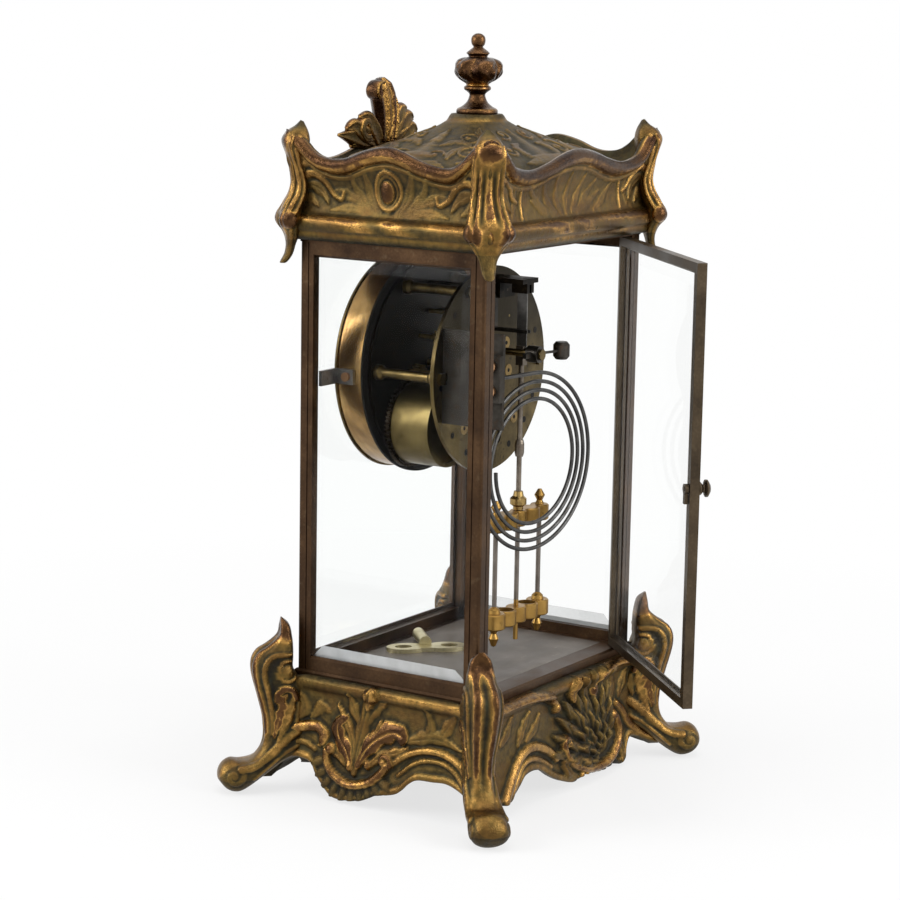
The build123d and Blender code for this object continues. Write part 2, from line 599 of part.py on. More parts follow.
front_plate = round_plate(PLATE_F, INSIDE_F, PIVOT_R + FIT)
front_plate -= rod_y(*CENTRE_AT, CENTRE_R + FIT, PLATE_F - 1, INSIDE_F + 1)
front_plate -= [rod_y(*at, BARREL_BORE + FIT, PLATE_F - 1, INSIDE_F + 1) for at in (TIME_AT, STRIKE_AT)]
BACK_PIVOT = 1.8
back_plate = round_plate(INSIDE_B, PLATE_B, ARBOR_R + FREE)
back_plate -= rod_y(*CENTRE_AT, PIVOT_R + FIT, INSIDE_B - 1, PLATE_B + 1)
back_plate -= [rod_y(*at, BACK_PIVOT + FIT, INSIDE_B - 1, PLATE_B + 1) for at in (TIME_AT, STRIKE_AT)]
LIGHT_R = 5.0
back_plate -= [rod_y(x, DIAL_Z - 44, LIGHT_R, INSIDE_B - 1, PLATE_B + 1) for x in (-9.0, 9.0)]
STUD_HOLE = 1.6
back_plate -= rod_y(*HAMMER_AT, STUD_HOLE, INSIDE_B - 1, PLATE_B + 1)


def pillar(x, z):
    return turned_y(
        [
            (0, PLATE_F), (TENON_R, PLATE_F), (TENON_R, INSIDE_F), (COLLAR_R, INSIDE_F),
            (COLLAR_R, INSIDE_F + 3), (PILLAR_R, INSIDE_F + 5), (PILLAR_R, INSIDE_B - 5),
            (COLLAR_R, INSIDE_B - 3), (COLLAR_R, INSIDE_B), (TENON_R, INSIDE_B),
            (TENON_R, PLATE_B + 2.0), (0, PLATE_B + 2.0),
        ],
        x,
        z,
    )


def pillar_nut(x, z):
    at = Plane((x, PLATE_B, z), x_dir=(1, 0, 0), z_dir=(0, 1, 0))
    ring = extrude(at * RegularPolygon(4.0, 6), amount=2.4)
    return ring - rod_y(x, z, TENON_R, PLATE_B - 1, PLATE_B + 4)


save(around(pillar, pillar_spots), "pillars")
save(around(pillar_nut, pillar_spots), "pillar_nuts")

# Toothed wheels: straight-flanked teeth with backlash, cut with crossings like spokes
ADDENDUM = 0.8
DEDENDUM = 1.2
TIP, ROOT = 0.11, 0.27  # half widths of a tooth as parts of the pitch


def toothed(teeth, mod, at, y0, y1, turn):
    rp = teeth * mod / 2
    pitch = 2 * pi / teeth
    points = []
    for k in range(teeth):
        mid = radians(turn) + k * pitch
        for r, off in ((rp - DEDENDUM * mod, -ROOT), (rp + ADDENDUM * mod, -TIP),
                       (rp + ADDENDUM * mod, TIP), (rp - DEDENDUM * mod, ROOT)):
            points.append((at[0] + r * cos(mid + off * pitch), at[1] + r * sin(mid + off * pitch)))
    return slab_y(poly(*points), y0, y1)


def bearing(a, b):
    return degrees(atan2(b[1] - a[1], b[0] - a[0]))


def wheel(teeth, mod, at, mate, y0, y1, spokes=4):
    """Wheel with one tooth on the line to its mate, and wedge openings between spokes."""
    blank = toothed(teeth, mod, at, y0, y1, bearing(at, mate))
    inside = teeth * mod / 2 - 3.0 * mod
    hub = 4.2
    if spokes and inside - hub > 3:
        for k in range(spokes):
            a0 = radians(k * 360 / spokes + 14)
            a1 = radians((k + 1) * 360 / spokes - 14)
            am = (a0 + a1) / 2
            wedge = [(at[0] + r * cos(a), at[1] + r * sin(a)) for r, a in
                     ((hub, am), (inside, a0), (inside, am), (inside, a1))]
            blank -= slab_y(poly(*wedge), y0 - 1, y1 + 1)
    return blank


def pinion(teeth, mod, at, mate, y0, y1):
    """Pinion with a gap on the line to its mate."""
    return toothed(teeth, mod, at, y0, y1, bearing(at, mate) + 180.0 / teeth)


def arbor(at, y0=None, y1=None):
    """Plain arbor with pivots that run in the plates."""
    shaft = rod_y(*at, ARBOR_R, INSIDE_F + SHAKE, INSIDE_B - SHAKE)
    return shaft + rod_y(*at, PIVOT_R, y0 or PLATE_F, y1 or PLATE_B)


RIM = 1.6  # thickness of a wheel
GREAT_Y = (INSIDE_F + 5.5, INSIDE_F + 8.1)
SECOND_Y = (INSIDE_B - 1.8 - RIM, INSIDE_B - 1.8)
CENTRE_Y = (INSIDE_F + 13.5, INSIDE_F + 13.5 + RIM)
THIRD_Y = (INSIDE_F + 23.5, INSIDE_F + 23.5 + RIM)
ESCAPE_Y = (INSIDE_B - 7.4 - RIM, INSIDE_B - 7.4)
WARN_Y = (INSIDE_F + 17.0, INSIDE_F + 17.0 + RIM)
LEAF = 1.6  # a pinion's leaves run past its wheel's rim by this much


def past(band):
    return band[0] - LEAF, band[1] + LEAF


# Barrels with their great wheels, running on the winding arbors
BARREL_END = INSIDE_B - 8.0


def barrel(at, mate):
    drum = rod_y(*at, BARREL_R, GREAT_Y[1], BARREL_END)
    drum += wheel(GREAT, GREAT_MOD, at, mate, *GREAT_Y, spokes=0)
    drum += rod_y(*at, BARREL_BORE + 2.5, GREAT_Y[0] - 1.5, BARREL_END + 1.5)
    cap = rod_y(*at, BARREL_R - 3.0, BARREL_END - 1.0, BARREL_END + 0.01)
    drum -= cap - rod_y(*at, BARREL_BORE + 3.0, BARREL_END - 2, BARREL_END + 2)
    return drum - rod_y(*at, BARREL_BORE + FIT, PLATE_F, PLATE_B)


save(barrel(TIME_AT, SECOND_AT), "time_barrel")
save(barrel(STRIKE_AT, PIN_AT), "strike_barrel")
SQUARE = 3.6
RATCHET_R = 8.0
RATCHET = 12
RATCHET_Y = (PLATE_F - 2.6, PLATE_F - 0.4)
ARBOR_FRONT = DRUM_FRONT + 3.5


def ratchet(at, hand):
    points = []
    for k in range(RATCHET):
        a = 2 * pi * k / RATCHET
        for r, off in ((RATCHET_R, 0.0), (RATCHET_R - 1.8, hand * 0.06)):
            points.append((at[0] + r * cos(a + off), at[1] + r * sin(a + off)))
    return slab_y(poly(*points), *RATCHET_Y)


def winding_arbor(at, hand):
    shaft = rod_y(*at, BARREL_BORE, RATCHET_Y[0] - 2, INSIDE_B - SHAKE)
    shaft += rod_y(*at, BACK_PIVOT, INSIDE_B - 5, PLATE_B)
    half = SQUARE / 2
    shaft += block(at[0] - half, at[0] + half, ARBOR_FRONT, RATCHET_Y[0], at[1] - half, at[1] + half)
    return shaft + ratchet(at, hand)


save(winding_arbor(TIME_AT, 1), "time_arbor")
save(winding_arbor(STRIKE_AT, -1), "strike_arbor")

# Clicks: sprung pawls on the front plate, their tips at the crest of the ratchet teeth
CLICK_SPAN = 13.0
CLICK_GAP = 0.5
CLICK_PIN = 1.2


def click(at, side):
    """Pawl with its pivot beside the ratchet and its tip just clear of the crests."""
    pivot = (at[0] + side * CLICK_SPAN, at[1] - 4.0)
    reach = RATCHET_R + CLICK_GAP - CLICK_SPAN
    arm = poly(
        (pivot[0] - side * 2.2, pivot[1]),
        (pivot[0] + side * 2.2, pivot[1]),
        (pivot[0] + side * (reach + 2.4), pivot[1] + 8.5),
        (pivot[0] + side * reach, pivot[1] + 7.0),
    )
    lever = slab_y(arm, *RATCHET_Y) + rod_y(*pivot, 2.4, *RATCHET_Y)
    return lever + rod_y(*pivot, CLICK_PIN, RATCHET_Y[0], INSIDE_F), pivot


time_click, TIME_CLICK_AT = click(TIME_AT, 1)
strike_click, STRIKE_CLICK_AT = click(STRIKE_AT, -1)
for at in (TIME_CLICK_AT, STRIKE_CLICK_AT):
    front_plate -= rod_y(*at, CLICK_PIN + FIT, PLATE_F - 1, INSIDE_F + 1)
save(time_click, "time_click")
save(strike_click, "strike_click")

# Going train
second = arbor(SECOND_AT) + pinion(SECOND_P, GREAT_MOD, SECOND_AT, TIME_AT, *past(GREAT_Y))
second += wheel(SECOND, SECOND_MOD, SECOND_AT, CENTRE_AT, *SECOND_Y)
save(second, "second_wheel")
centre = arbor(CENTRE_AT, PLATE_F - 1)
centre += rod_y(*CENTRE_AT, CENTRE_R, INSIDE_F - PLATE_T - 1, INSIDE_F + 3)
centre += pinion(CENTRE_P, SECOND_MOD, CENTRE_AT, SECOND_AT, *past(SECOND_Y))
centre += wheel(CENTRE, CENTRE_MOD, CENTRE_AT, THIRD_AT, *CENTRE_Y)
POST_R = 1.2
centre += rod_y(*CENTRE_AT, POST_R, DRUM_FRONT - 3.2, PLATE_F)
save(centre, "centre_wheel")
third = arbor(THIRD_AT) + pinion(THIRD_P, CENTRE_MOD, THIRD_AT, CENTRE_AT, *past(CENTRE_Y))
third += wheel(THIRD, THIRD_MOD, THIRD_AT, ESCAPE_AT, *THIRD_Y)
save(third, "third_wheel")
escape = arbor(ESCAPE_AT) + pinion(ESCAPE_P, THIRD_MOD, ESCAPE_AT, THIRD_AT, *past(THIRD_Y))
points = []
for k in range(ESCAPE):
    a = 2 * pi * k / ESCAPE
    for r, off in ((ESCAPE_R, 0.0), (ESCAPE_R - 2.4, 0.05), (ESCAPE_R - 2.4, 0.2)):
        points.append((ESCAPE_AT[0] + r * cos(a + off), ESCAPE_AT[1] + r * sin(a + off)))
escape += slab_y(poly(*points), *ESCAPE_Y)
save(escape, "escape_wheel")

# Verge: anchor over the escape wheel, and the crutch behind the back plate
PALLET_GAP = 1.4
pallet_r = ESCAPE_R + PALLET_GAP
pallet_a = radians(360 / ESCAPE * 3.25)
tip_x, tip_z = pallet_r * sin(pallet_a), ESCAPE_AT[1] + pallet_r * cos(pallet_a)
half_anchor = [
    (0, VERGE_Z + 3.0), (3.0, VERGE_Z + 2.0), (tip_x + 2.4, tip_z + 3.4), (tip_x + 1.6, tip_z - 0.2),
    (tip_x, tip_z), (tip_x - 0.6, tip_z + 3.6), (2.4, VERGE_Z - 2.2), (0, VERGE_Z - 2.6),
]
anchor = slab_y(poly(*half_anchor), *ESCAPE_Y)
anchor += mirror(anchor, Plane.YZ)
COCK_WEB = (22.0, 25.0)
verge = rod_y(*VERGE_AT, ARBOR_R, INSIDE_F + SHAKE, COCK_WEB[0] - SHAKE)
verge += rod_y(*VERGE_AT, PIVOT_R, PLATE_F, COCK_WEB[1]) + anchor
CRUTCH_Z = VERGE_Z - 24.0
crutch_y = (PLATE_B + 2.0, PLATE_B + 3.6)
verge += rod_y(*VERGE_AT, 3.6, PLATE_B + 1.0, crutch_y[1] + 1.0)
verge += block(-1.8, 1.8, *crutch_y, CRUTCH_Z - 2, VERGE_Z)
SPRING_T = 0.8
prong_in = SPRING_T / 2 + FREE
for s in (-1, 1):
    x0, x1 = sorted((s * prong_in, s * (prong_in + 1.2)))
    verge += block(x0, x1, crutch_y[0], PEND_Y + 5.0, CRUTCH_Z - 2, CRUTCH_Z)
save(verge, "verge")

# Strike train
LIFT_PINS = 8
pins_wheel = arbor(PIN_AT) + pinion(SECOND_P, GREAT_MOD, PIN_AT, STRIKE_AT, *past(GREAT_Y))
pins_wheel += wheel(PINS, PIN_MOD, PIN_AT, WARN_AT, *SECOND_Y)
for k in range(LIFT_PINS):
    pins_wheel += rod_y(*step(PIN_AT, 11.8, 360 * k / LIFT_PINS), 0.7, SECOND_Y[0] - 2.6, SECOND_Y[0])
save(pins_wheel, "pin_wheel")
warn = arbor(WARN_AT) + pinion(WARN_P, PIN_MOD, WARN_AT, PIN_AT, *past(SECOND_Y))
warn += wheel(WARN, WARN_MOD, WARN_AT, FLY_AT, *WARN_Y)
save(warn, "warning_wheel")
fly = arbor(FLY_AT) + pinion(FLY_P, WARN_MOD, FLY_AT, WARN_AT, *past(WARN_Y))
FAN = 8.5
fan = Rectangle(2 * FAN, 0.8)
fly += slab_y(Pos(*FLY_AT) * fan, WARN_Y[1] + 4.0, WARN_Y[1] + 14.0)
save(fly, "fly")

# Dial drum, dial and bezel
WALL = 1.5
FLANGE_OUT = 2.2
drum = turned_y(
    [
        (DRUM_R - 7.5, PLATE_F), (DRUM_R + FLANGE_OUT, PLATE_F), (DRUM_R + FLANGE_OUT, PLATE_F - 1.6),
        (DRUM_R, PLATE_F - 2.6), (DRUM_R, DRUM_FRONT), (DRUM_R - WALL, DRUM_FRONT),
        (DRUM_R - WALL, DRUM_FRONT + 2.0), (DRUM_R - 5.0, DRUM_FRONT + 2.0), (DRUM_R - 5.0, DRUM_FRONT + 3.5),
        (DRUM_R - WALL, DRUM_FRONT + 3.5), (DRUM_R - WALL, PLATE_F - WALL), (DRUM_R - 7.5, PLATE_F - WALL),
    ],
    0,
    DIAL_Z,
)
save(drum, "dial_drum")
DIAL_T = 1.5
dial_y1 = DRUM_FRONT + 2.0
dial_y0 = dial_y1 - DIAL_T
dial = rod_y(0, DIAL_Z, DRUM_R - WALL - 0.1, dial_y0, dial_y1)
HOUR_BORE = 4.2
dial -= rod_y(0, DIAL_Z, HOUR_BORE + FREE, dial_y0 - 1, dial_y1 + 1)
dial -= [rod_y(*at, 4.0, dial_y0 - 1, dial_y1 + 1) for at in (TIME_AT, STRIKE_AT)]
save(dial, "dial")
BEZEL_R = DRUM_R + 1.0
bezel = turned_y(
    [
        (DRUM_R - 4.0, DRUM_FRONT),
        (BEZEL_R, DRUM_FRONT),
        (BEZEL_R, DRUM_FRONT - 1.2),
        (BEZEL_R - 2.0, DRUM_FRONT - 3.0),
        (DRUM_R - 3.0, DRUM_FRONT - 2.4),
    ],
    0,
    DIAL_Z,
)
save(bezel, "dial_bezel")

# Motion work between the front plate and the dial, and the hands
CANNON, MINUTE, MINUTE_P, HOUR, MOTION_MOD = 8, 24, 8, 32, 1.0
HOUR_MOD = MOTION_MOD * (CANNON + MINUTE) / (MINUTE_P + HOUR)
MINUTE_AT = step(CENTRE_AT, gear_sum(MOTION_MOD, CANNON, MINUTE), 90)
CANNON_Y = (PLATE_F - 7.0, PLATE_F - 4.0)
HOUR_Y = (PLATE_F - 12.0, PLATE_F - 9.0)
hand_y1 = dial_y0 - 0.5
HAND_T = 0.7
PIPE = 2.4  # radius of the cannon pinion's pipe
cannon = rod_y(*CENTRE_AT, PIPE, DRUM_FRONT - 2.6, CANNON_Y[1] + 1.0)
cannon += pinion(CANNON, MOTION_MOD, CENTRE_AT, MINUTE_AT, *CANNON_Y)
cannon -= rod_y(*CENTRE_AT, POST_R + FIT, DRUM_FRONT - 5, PLATE_F)
save(cannon, "cannon_pinion")
hour = rod_y(*CENTRE_AT, HOUR_BORE, hand_y1 - HAND_T, HOUR_Y[1])
hour += wheel(HOUR, HOUR_MOD, CENTRE_AT, MINUTE_AT, *HOUR_Y, spokes=0)
hour -= rod_y(*CENTRE_AT, PIPE + FIT, DRUM_FRONT - 5, PLATE_F)
save(hour, "hour_wheel")
minute_wheel = wheel(MINUTE, MOTION_MOD, MINUTE_AT, CENTRE_AT, *CANNON_Y, spokes=0)
minute_wheel += pinion(MINUTE_P, HOUR_MOD, MINUTE_AT, CENTRE_AT, HOUR_Y[0] - 0.5, CANNON_Y[0])
MINUTE_STUD = 1.5
minute_wheel -= rod_y(*MINUTE_AT, MINUTE_STUD + FIT, DRUM_FRONT - 5, PLATE_F)
save(minute_wheel, "minute_wheel")
front_plate += rod_y(*MINUTE_AT, MINUTE_STUD, HOUR_Y[0] - 1.5, PLATE_F)
front_plate += rod_y(*MINUTE_AT, 3.0, CANNON_Y[1] + SHAKE, PLATE_F)
save(front_plate, "front_plate")


def hand(length, width, bore, y0, y1, turn):
    """Hand with a round boss, a pierced diamond and a tapered point."""
    side = [(0.9, 0), (0.7, 0.5 * length), (width, 0.7 * length), (0.5, 0.86 * length)]
    blade = poly(*[(-x, z) for x, z in side], (0, length), *side[::-1])
    gap = 0.6 * width
    blade -= poly((-gap, 0.7 * length), (0, 0.6 * length), (gap, 0.7 * length), (0, 0.78 * length))
    shape = Pos(0, DIAL_Z) * (Rot(0, 0, turn) * (blade + Circle(bore + 2.2)) - Circle(bore))
    return slab_y(shape, y0, y1)


HOUR_TURN, MINUTE_TURN = 60.0, -60.0
HOUR_L, MINUTE_L = 0.56 * DRUM_R, 0.83 * DRUM_R
save(hand(HOUR_L, 4.0, HOUR_BORE, hand_y1 - HAND_T, hand_y1, HOUR_TURN), "hour_hand")
minute_y1 = hand_y1 - HAND_T - 0.6
save(hand(MINUTE_L, 3.0, PIPE, minute_y1 - HAND_T, minute_y1, MINUTE_TURN), "minute_hand")

# Straps that hold the dial drum to the front posts, with their screws
STRAP_Z = (DIAL_Z - 7.7, DIAL_Z + 1.7)
STRAP_T = 2.0
STRAP_L = 14.0
SCREW_R = 1.5
strap_y0 = -POST_IN_Y
strap = block(DRUM_R - 2, HX - LIP - PANE_T - 0.5, strap_y0, strap_y0 + STRAP_T, *STRAP_Z)
strap += block(DRUM_R - 2, DRUM_R + STRAP_T, strap_y0, strap_y0 + STRAP_L, *STRAP_Z)
strap -= rod_y(0, DIAL_Z, DRUM_R, DRUM_FRONT - 5, PLATE_F)
strap -= rod_y(0, DIAL_Z, BEZEL_R + FREE, DRUM_FRONT - 5, DRUM_FRONT + 0.3)
strap_mid = (STRAP_Z[0] + STRAP_Z[1]) / 2
strap_screw_y = strap_y0 + STRAP_L - 5.0
strap -= rod_x(strap_screw_y, strap_mid, SCREW_R, DRUM_R - 4, DRUM_R + STRAP_T + 1)
save(strap + mirror(strap, Plane.YZ), "movement_straps")
screw = rod_x(strap_screw_y, strap_mid, 2.8, DRUM_R + STRAP_T, DRUM_R + STRAP_T + 1.6)
screw += rod_x(strap_screw_y, strap_mid, SCREW_R, DRUM_R - 1.5, DRUM_R + STRAP_T)
screw -= rod_y(0, DIAL_Z, DRUM_R, DRUM_FRONT - 5, PLATE_F)
save(screw + mirror(screw, Plane.YZ), "strap_screws")

# Back cock: carries the verge's rear pivot and the suspension
COCK_W = 9.0
COCK_Z = (VERGE_Z + 5.0, VERGE_Z + 8.0)
LUG_Y = (PEND_Y - 5.5, PEND_Y + 5.5)
cock = block(-COCK_W, COCK_W, PLATE_B, PLATE_B + 2.0, VERGE_Z + 4.0, COCK_Z[1])
cock += block(-COCK_W, COCK_W, PLATE_B, LUG_Y[1], *COCK_Z)
cock += block(-COCK_W, COCK_W, *COCK_WEB, VERGE_Z - 4.5, COCK_Z[0])
cock += block(-4.0, 4.0, *LUG_Y, VERGE_Z - 1.0, COCK_Z[0])
SLOT = 1.1
cock -= block(-SLOT, SLOT, LUG_Y[0] - 1, LUG_Y[1] + 1, VERGE_Z - 2, COCK_Z[0] - 0.8)
cock -= rod_y(*VERGE_AT, PIVOT_R + FIT, COCK_WEB[0] - 1, COCK_WEB[1] + 1)
HANG_R = 0.9
HANG_Z = VERGE_Z + 2.0
cock += rod_x(PEND_Y, HANG_Z, HANG_R, -4.0, 4.0)
save(cock, "back_cock")
save(back_plate, "back_plate")

# Pendulum: suspension strip, rod, regulating nut and the three-rod bob frame
SPRING_W = 7.0
SPRING_END = VERGE_Z - 38.0
spring_x, spring_y = SPRING_T / 2, SPRING_W / 2
spring = block(-spring_x, spring_x, PEND_Y - spring_y, PEND_Y + spring_y, SPRING_END, VERGE_Z + 4.0)
spring -= rod_x(PEND_Y, HANG_Z, HANG_R + 0.5, -10, 10)
save(spring, "suspension_spring")
ROD_R = 1.6
YOKE_H = 10.0
FOOT_MID = SILL_TOP + 32.0  # lower cross-piece above the sill
YOKE_MID = FOOT_MID + 61.5
NUT_Z = YOKE_MID + YOKE_H / 2 + 0.4
CLASP_Z = (SPRING_END - 8.0, SPRING_END + 4.0)
clasp = block(-2.6, 2.6, PEND_Y - 2.6, PEND_Y + 2.6, *CLASP_Z)
clasp -= block(-spring_x, spring_x, PEND_Y - 9, PEND_Y + 9, SPRING_END, CLASP_Z[1] + 1)
rod = clasp + rod_z(0, PEND_Y, ROD_R, YOKE_MID - YOKE_H / 2 + 3.4, CLASP_Z[0])
collar = [(0, 0), (2.4, 0), (3.0, 2.5), (3.0, 8.0), (2.4, 10.5), (0, 10.5)]
rod += turned_z([(r, NUT_Z + 33.6 + z) for r, z in collar], 0, PEND_Y)
save(rod, "pendulum_rod")
NUT_H = 11.6
nut_line = [(3.2, 0), (3.2, 2.0), (5.2, 3.4), (5.2, 7.0), (3.4, 8.6), (2.8, NUT_H)]
nut_line = [(ROD_R + FIT, 0)] + nut_line + [(ROD_R + FIT, NUT_H)]
save(turned_z([(r, NUT_Z + z) for r, z in nut_line], 0, PEND_Y), "rating_nut")
SIDE_ROD_X = 25.8
SIDE_ROD_R = 1.5
WELL_X = SIDE_ROD_X / 2
WELL_R = 5.6


def yoke(mid, lobe, up):
    """Cast cross-piece: round lobes for three rods, and a cup either side of the middle."""
    bar = Rectangle(2 * SIDE_ROD_X, 7.0) + Circle(0.9 * lobe)
    bar += [Pos(s * SIDE_ROD_X, 0) * Circle(lobe) for s in (-1, 1)]
    bar += [Pos(s * WELL_X, 0) * Circle(WELL_R + 1.5) for s in (-1, 1)]
    solid = Pos(0, PEND_Y, mid - YOKE_H / 2) * extrude(bar, amount=YOKE_H)
    solid = chamfer(solid.edges().group_by(Axis.Z)[0] + solid.edges().group_by(Axis.Z)[-1], 0.8)
    z0, z1 = (mid - YOKE_H / 2 + 2.5, mid + YOKE_H) if up else (mid - YOKE_H, mid + YOKE_H / 2 - 2.5)
    return solid - [rod_z(s * WELL_X, PEND_Y, WELL_R, z0, z1) for s in (-1, 1)]


frame = yoke(YOKE_MID, 6.0, False) + yoke(FOOT_MID, 7.2, True)
half_h = YOKE_H / 2
drop = [(0, -11.5), (1.6, -10.6), (3.2, -6.0), (1.8, -2.8), (3.4, 0), (0, 0)]
cap = [(0, 0), (3.0, 0), (1.8, 2.4), (3.4, 5.6), (1.2, 9.5), (0, 9.5)]
dome_nut = [(0, 0), (4.0, 0), (3.6, 2.2), (2.2, 3.6), (0, 3.6)]
for s in (-1, 1):
    frame += rod_z(s * SIDE_ROD_X, PEND_Y, SIDE_ROD_R, FOOT_MID, YOKE_MID)
    frame += turned_z([(r, FOOT_MID - half_h + z) for r, z in drop], s * SIDE_ROD_X, PEND_Y)
    frame += turned_z([(r, YOKE_MID + half_h + z) for r, z in cap], s * SIDE_ROD_X, PEND_Y)
    frame += turned_z([(r, FOOT_MID + half_h + z) for r, z in dome_nut], s * SIDE_ROD_X, PEND_Y)
frame += rod_z(0, PEND_Y, SIDE_ROD_R, FOOT_MID - half_h - 11.5, YOKE_MID - half_h + 1.0)
frame -= rod_z(0, PEND_Y, ROD_R + FIT, YOKE_MID - half_h + 0.8, YOKE_MID + half_h + 1)
save(frame, "pendulum_bob")

# Gong: flat steel spiral of half turns, held at its outer end in a clamp on a bracket
wire_r = GONG_WIRE / 2
half_step = GONG_PITCH / 2
lean = radians(GONG_LEAN)
gong_x_dir = (cos(lean), -sin(lean), 0)
gong_at = Plane((GONG_X, GONG_Y - GONG_X * sin(lean) / cos(lean), GONG_Z), x_dir=gong_x_dir,
                z_dir=(-sin(lean), -cos(lean), 0))
gong_top = GONG_R + GONG_PITCH / 4
BRACKET_X = (PLATE_R - 12.5, PLATE_R - 10.0)
CLAMP_T = 3.5
clamp_x1 = BRACKET_X[1] + CLAMP_T


def gong_point(u, v):
    return gong_at.from_local_coords((u, v, 0))


lead = (clamp_x1 - 1.0 - GONG_X) / cos(lean)
lines = [Line(gong_point(lead, gong_top), gong_point(0, gong_top))]
turn_points = []
v_here, r_here, side = gong_top, GONG_R, 1
for k in range(2 * GONG_TURNS + 1):
    v_next = v_here - 2 * side * r_here
    v_mid = (v_here + v_next) / 2
    lines.append(ThreePointArc(gong_point(0, v_here), gong_point(-side * r_here, v_mid), gong_point(0, v_next)))
    for i in range(24):
        a = pi * i / 24
        turn_points.append((-side * r_here * sin(a), v_mid + side * r_here * cos(a), 2 * k + 2 * a / pi))
    v_here, r_here, side = v_next, r_here - half_step, -side
v_end = v_here - side * r_here
bend = side * r_here * sin(pi / 4)
free_end = gong_point(-side * r_here, v_end)
lines.append(ThreePointArc(gong_point(0, v_here), gong_point(-bend, v_end + bend), free_end))
gong_path = Wire(lines)
gong = sweep(Plane(gong_path @ 0, z_dir=gong_path % 0) * Circle(wire_r), path=gong_path)
save(gong, "gong")
least = min(
    hypot(p[0] - q[0], p[1] - q[1]) for i, p in enumerate(turn_points) for q in turn_points[i + 1:]
    if q[2] - p[2] > 1.5
) - GONG_WIRE
print(f"gong: length {gong_path.length:.0f} mm, least gap between turns {least:.2f} mm")

BRACKET_Z = (DIAL_Z - 27.5, DIAL_Z + 30.5)
CLAMP_Y1 = GONG_Y + 6.5
top_z = GONG_Z + gong_top
lead_y = GONG_Y - BRACKET_X[1] * sin(lean) / cos(lean)
bracket = block(*BRACKET_X, PLATE_B, CLAMP_Y1, *BRACKET_Z)
bracket += block(BRACKET_X[0] - 9.0, BRACKET_X[0], PLATE_B, PLATE_B + 2.5, BRACKET_Z[0] + 10, BRACKET_Z[1] - 18)
hole = Plane(gong_point(lead, gong_top), z_dir=gong_x_dir) * Cylinder(wire_r + 0.03, 40)
SCREW_Y = GONG_Y + 0.5
CLAMP_SCREWS = (top_z - 5.0, top_z + 10.0)
screw_holes = [rod_x(SCREW_Y, z, SCREW_R, BRACKET_X[0] - 1, clamp_x1 + 1) for z in CLAMP_SCREWS]
notch = [rod_y(x, z, 4.6, PLATE_B - 1, PLATE_B + 3.5) for x, z in pillar_spots]
save(bracket - hole - screw_holes - notch, "gong_bracket")
clamp = block(BRACKET_X[1], clamp_x1, lead_y - 5.0, CLAMP_Y1, top_z - 12.0, top_z + 16.5)
save(clamp - hole - screw_holes, "gong_clamp")


def clamp_screw(z):
    body = rod_x(SCREW_Y, z, SCREW_R, BRACKET_X[0], clamp_x1)
    head = rod_x(SCREW_Y, z, 3.6, clamp_x1, clamp_x1 + 2.0)
    return body + head - block(clamp_x1 + 1.2, clamp_x1 + 3, SCREW_Y - 0.5, SCREW_Y + 0.5, z - 5, z + 5)


save(around(clamp_screw, [(z,) for z in CLAMP_SCREWS]), "gong_screws")

# Hammer on its stud behind the back plate, over the gong's first turn
HEAD_X, HEAD_R, HEAD_H = -32.0, 5.2, 11.0
STUD_RAD = 2.2
HUB_R = 5.2
hammer_x, hammer_z = HAMMER_AT
hammer_y = GONG_Y + 1.0
HUB_Y = (hammer_y - 4.0, hammer_y + 4.0)
stud = rod_y(*HAMMER_AT, STUD_RAD, PLATE_B, HUB_Y[1] + 1.5) + rod_y(*HAMMER_AT, STUD_HOLE, INSIDE_B, PLATE_B)
stud += rod_y(*HAMMER_AT, STUD_RAD + 1.2, HUB_Y[1] + SHAKE, HUB_Y[1] + 1.8)
stud += rod_y(*HAMMER_AT, STUD_RAD + 1.2, HUB_Y[0] - 3, HUB_Y[0] - SHAKE)
save(stud, "hammer_stud")
hub = rod_y(*HAMMER_AT, HUB_R, *HUB_Y) - rod_y(*HAMMER_AT, STUD_RAD + FIT, HUB_Y[0] - 1, HUB_Y[1] + 1)
head_at = (hammer_x + HEAD_X, hammer_z - 1.0)
arm_line = Line((hammer_x - HUB_R + 1.0, hammer_y, hammer_z), (head_at[0] + 3.0, hammer_y, head_at[1]))
arm = sweep(Plane(arm_line @ 0, z_dir=arm_line % 0) * Circle(0.9), path=arm_line)
half_head = HEAD_H / 2
head_low = [(0, -half_head), (HEAD_R - 1.6, -half_head), (HEAD_R, 2 - half_head)]
head_line = head_low + [(r, -z) for r, z in reversed(head_low)]
head = turned_z([(r, head_at[1] + z) for r, z in head_line], head_at[0], hammer_y)
tail = block(hammer_x + 4.0, hammer_x + 12.0, hammer_y - 1.2, hammer_y + 1.2, hammer_z - 1.6, hammer_z + 1.6)
save(hub + arm + head + tail, "hammer")

# Winding key, lying loose on the floor of the case
KEY_AT = (6.0, -27.0)
KEY_TURN = 135.0
KEY_T = 2.6
bow = Pos(-13, 0) * Ellipse(13, 8.5) + Pos(13, 0) * Ellipse(13, 8.5) + Rectangle(14, 12)
bow -= [Pos(s * 15, 0) * Ellipse(5.5, 4.0) for s in (-1, 1)]
key = extrude(bow, amount=KEY_T)
PIPE_R = 4.0
key += Pos(0, 15, KEY_T / 2 + PIPE_R - 1.3) * Rot(90, 0, 0) * Cylinder(PIPE_R, 24)
key -= Pos(0, 22, KEY_T / 2 + PIPE_R - 1.3) * Box(SQUARE, 14, SQUARE)
key -= block(-40, 40, -40, 40, -10, 0)
save(Pos(*KEY_AT, FLOOR_TOP) * Rot(0, 0, KEY_TURN) * key, "winding_key")
